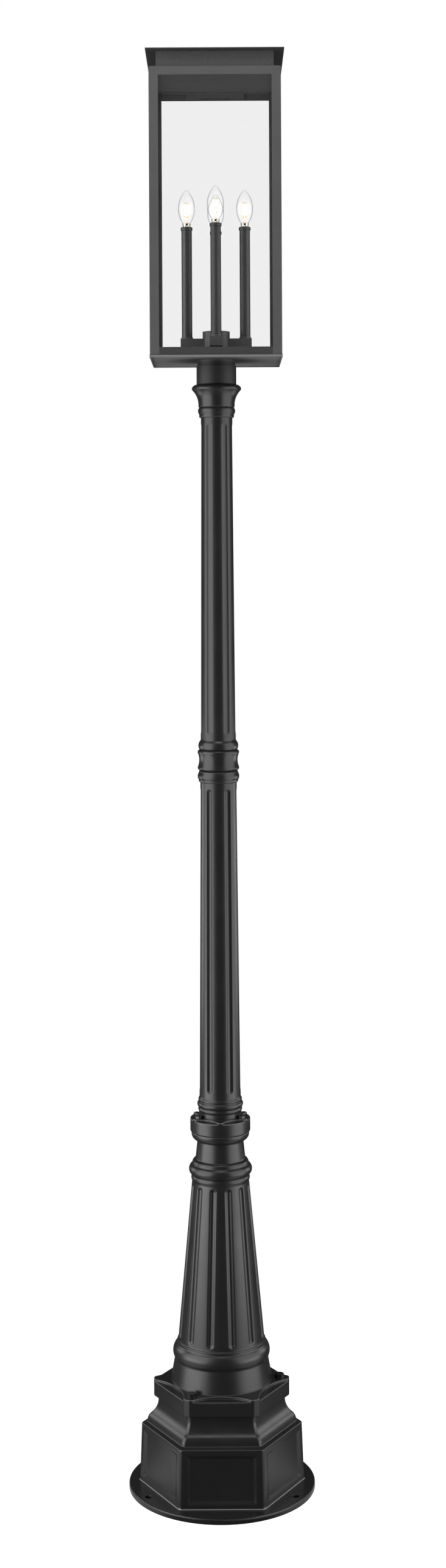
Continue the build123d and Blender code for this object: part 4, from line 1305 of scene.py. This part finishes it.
def at_candle(mesh, number, finish):
    """Puts a mesh that was made on the axis in a candle's place."""
    x, y = candle_axis(number)
    return grow(copies_tree, mesh, {
        "Copies": 1, "Radius": math.hypot(x, y), "Turn": math.atan2(y, x), "Finish": finish})


def above(foot, *points):
    """Outline points given in millimetres, as a radius and a height above a foot."""
    return [(radius * MM, foot + height * MM) for radius, height in points]


def make_cap():
    """Screw shell with a rolled thread, and a waisted collar that shows above the sleeve."""
    shell = above(CAP_LOW, (0, 0), (3.4, 0), (4.4, 1.2), (5.6, 1.8), (6, 2.4))
    collar = above(CAP_SEAT, (6, -1), (6.2, 0), (8.4, 0), (8.6, 0.5), (8.5, 1.2), (8.0, 2.0), (8.0, 5.8),
                   (8.5, 6.8), (8.6, 7.4), (8.3, 8), (0, 8))
    return turn_shape(shell + collar, cap_nickel, CAP_EDGE, BULB_STATIONS, **{
        "Thread Pitch": THREAD_PITCH, "Thread Depth": THREAD_CUT,
        "Thread Low": CAP_LOW + 2.6 * MM, "Thread High": CAP_SEAT - 1.5 * MM})


def make_glass_shell():
    """The glass of a bulb, read from the first one's solid and closed at its tip."""
    outside, _ = wall("bulb_glass_1", candle_axis(1))
    return turn_shape(outside + [(0.0, outside[-1][1])], bulb_glass, SHELL_EDGE, BULB_STATIONS)


def make_wire():
    """Fine wire from the stem out to a filament's end."""
    shape = bmesh.new()
    bmesh.ops.create_cone(shape, segments=WIRE_SIDES, radius1=WIRE_R, radius2=WIRE_R, depth=FILAMENT_CIRCLE)
    for vertex in shape.verts:
        vertex.co = Vector((vertex.co.z + FILAMENT_CIRCLE / 2, vertex.co.y, vertex.co.x))
    bmesh.ops.recalc_face_normals(shape, faces=shape.faces)
    mesh = bpy.data.meshes.new("wire")
    shape.to_mesh(mesh)
    shape.free()
    return mesh


def lifted(mesh, height):
    """A copy of a mesh at another height."""
    copy = mesh.copy()
    for vertex in copy.vertices:
        vertex.co.z += height
    return copy


def make_mount_shapes():
    """The stem, the filaments and the wires between them, each with its finish."""
    ring = {"Copies": FILAMENTS, "Turn": math.pi / FILAMENTS, "Finish": lit_filament}
    stem = above(GLASS_FOOT, (3.0, 0), (2.6, 2), (1.6, 6), (1.3, 10), (1.5, 12), (0.9, 13.5), (0.45, 15),
                 (0.45, 43), (0, 43.4))
    rod = above(GLASS_FOOT, (0, 12.6), (0.5, 12.8), (0.5, 14), (0.9, 14.6), (0.9, 41.4), (0.5, 42),
                (0.5, 43.2), (0, 43.4))
    filament = turn_shape(rod, lit_filament, FILAMENT_EDGE, FILAMENT_STATIONS)
    wires = [lifted(make_wire(), GLASS_FOOT + level * MM) for level in WIRE_LEVELS]
    return [
        (turn_shape(stem, stem_glass, STEM_EDGE, STEM_STATIONS), stem_glass),
        (grow(copies_tree, filament, {**ring, "Radius": FILAMENT_CIRCLE}), lit_filament),
        *[(grow(copies_tree, wire, ring), plated_steel) for wire in wires],
    ]


cap, shell, mount_shapes = make_cap(), make_glass_shell(), make_mount_shapes()
print("a bulb's cap has", len(cap.polygons), "faces and its glass", len(shell.polygons))

# %% Four bulbs
for number in LIGHTS:
    body = f"bulb_{number}"
    settle(f"screw_cap_{number}", at_candle(cap, number, cap_nickel), body, f"bulb_cap_{number}")
    settle(f"glass_shell_{number}", at_candle(shell, number, bulb_glass), body, f"bulb_glass_{number}")
    placed = [at_candle(mesh, number, finish) for mesh, finish in mount_shapes]
    settle(f"lit_mount_{number}", joined(*placed), body, f"bulb_mount_{number}")
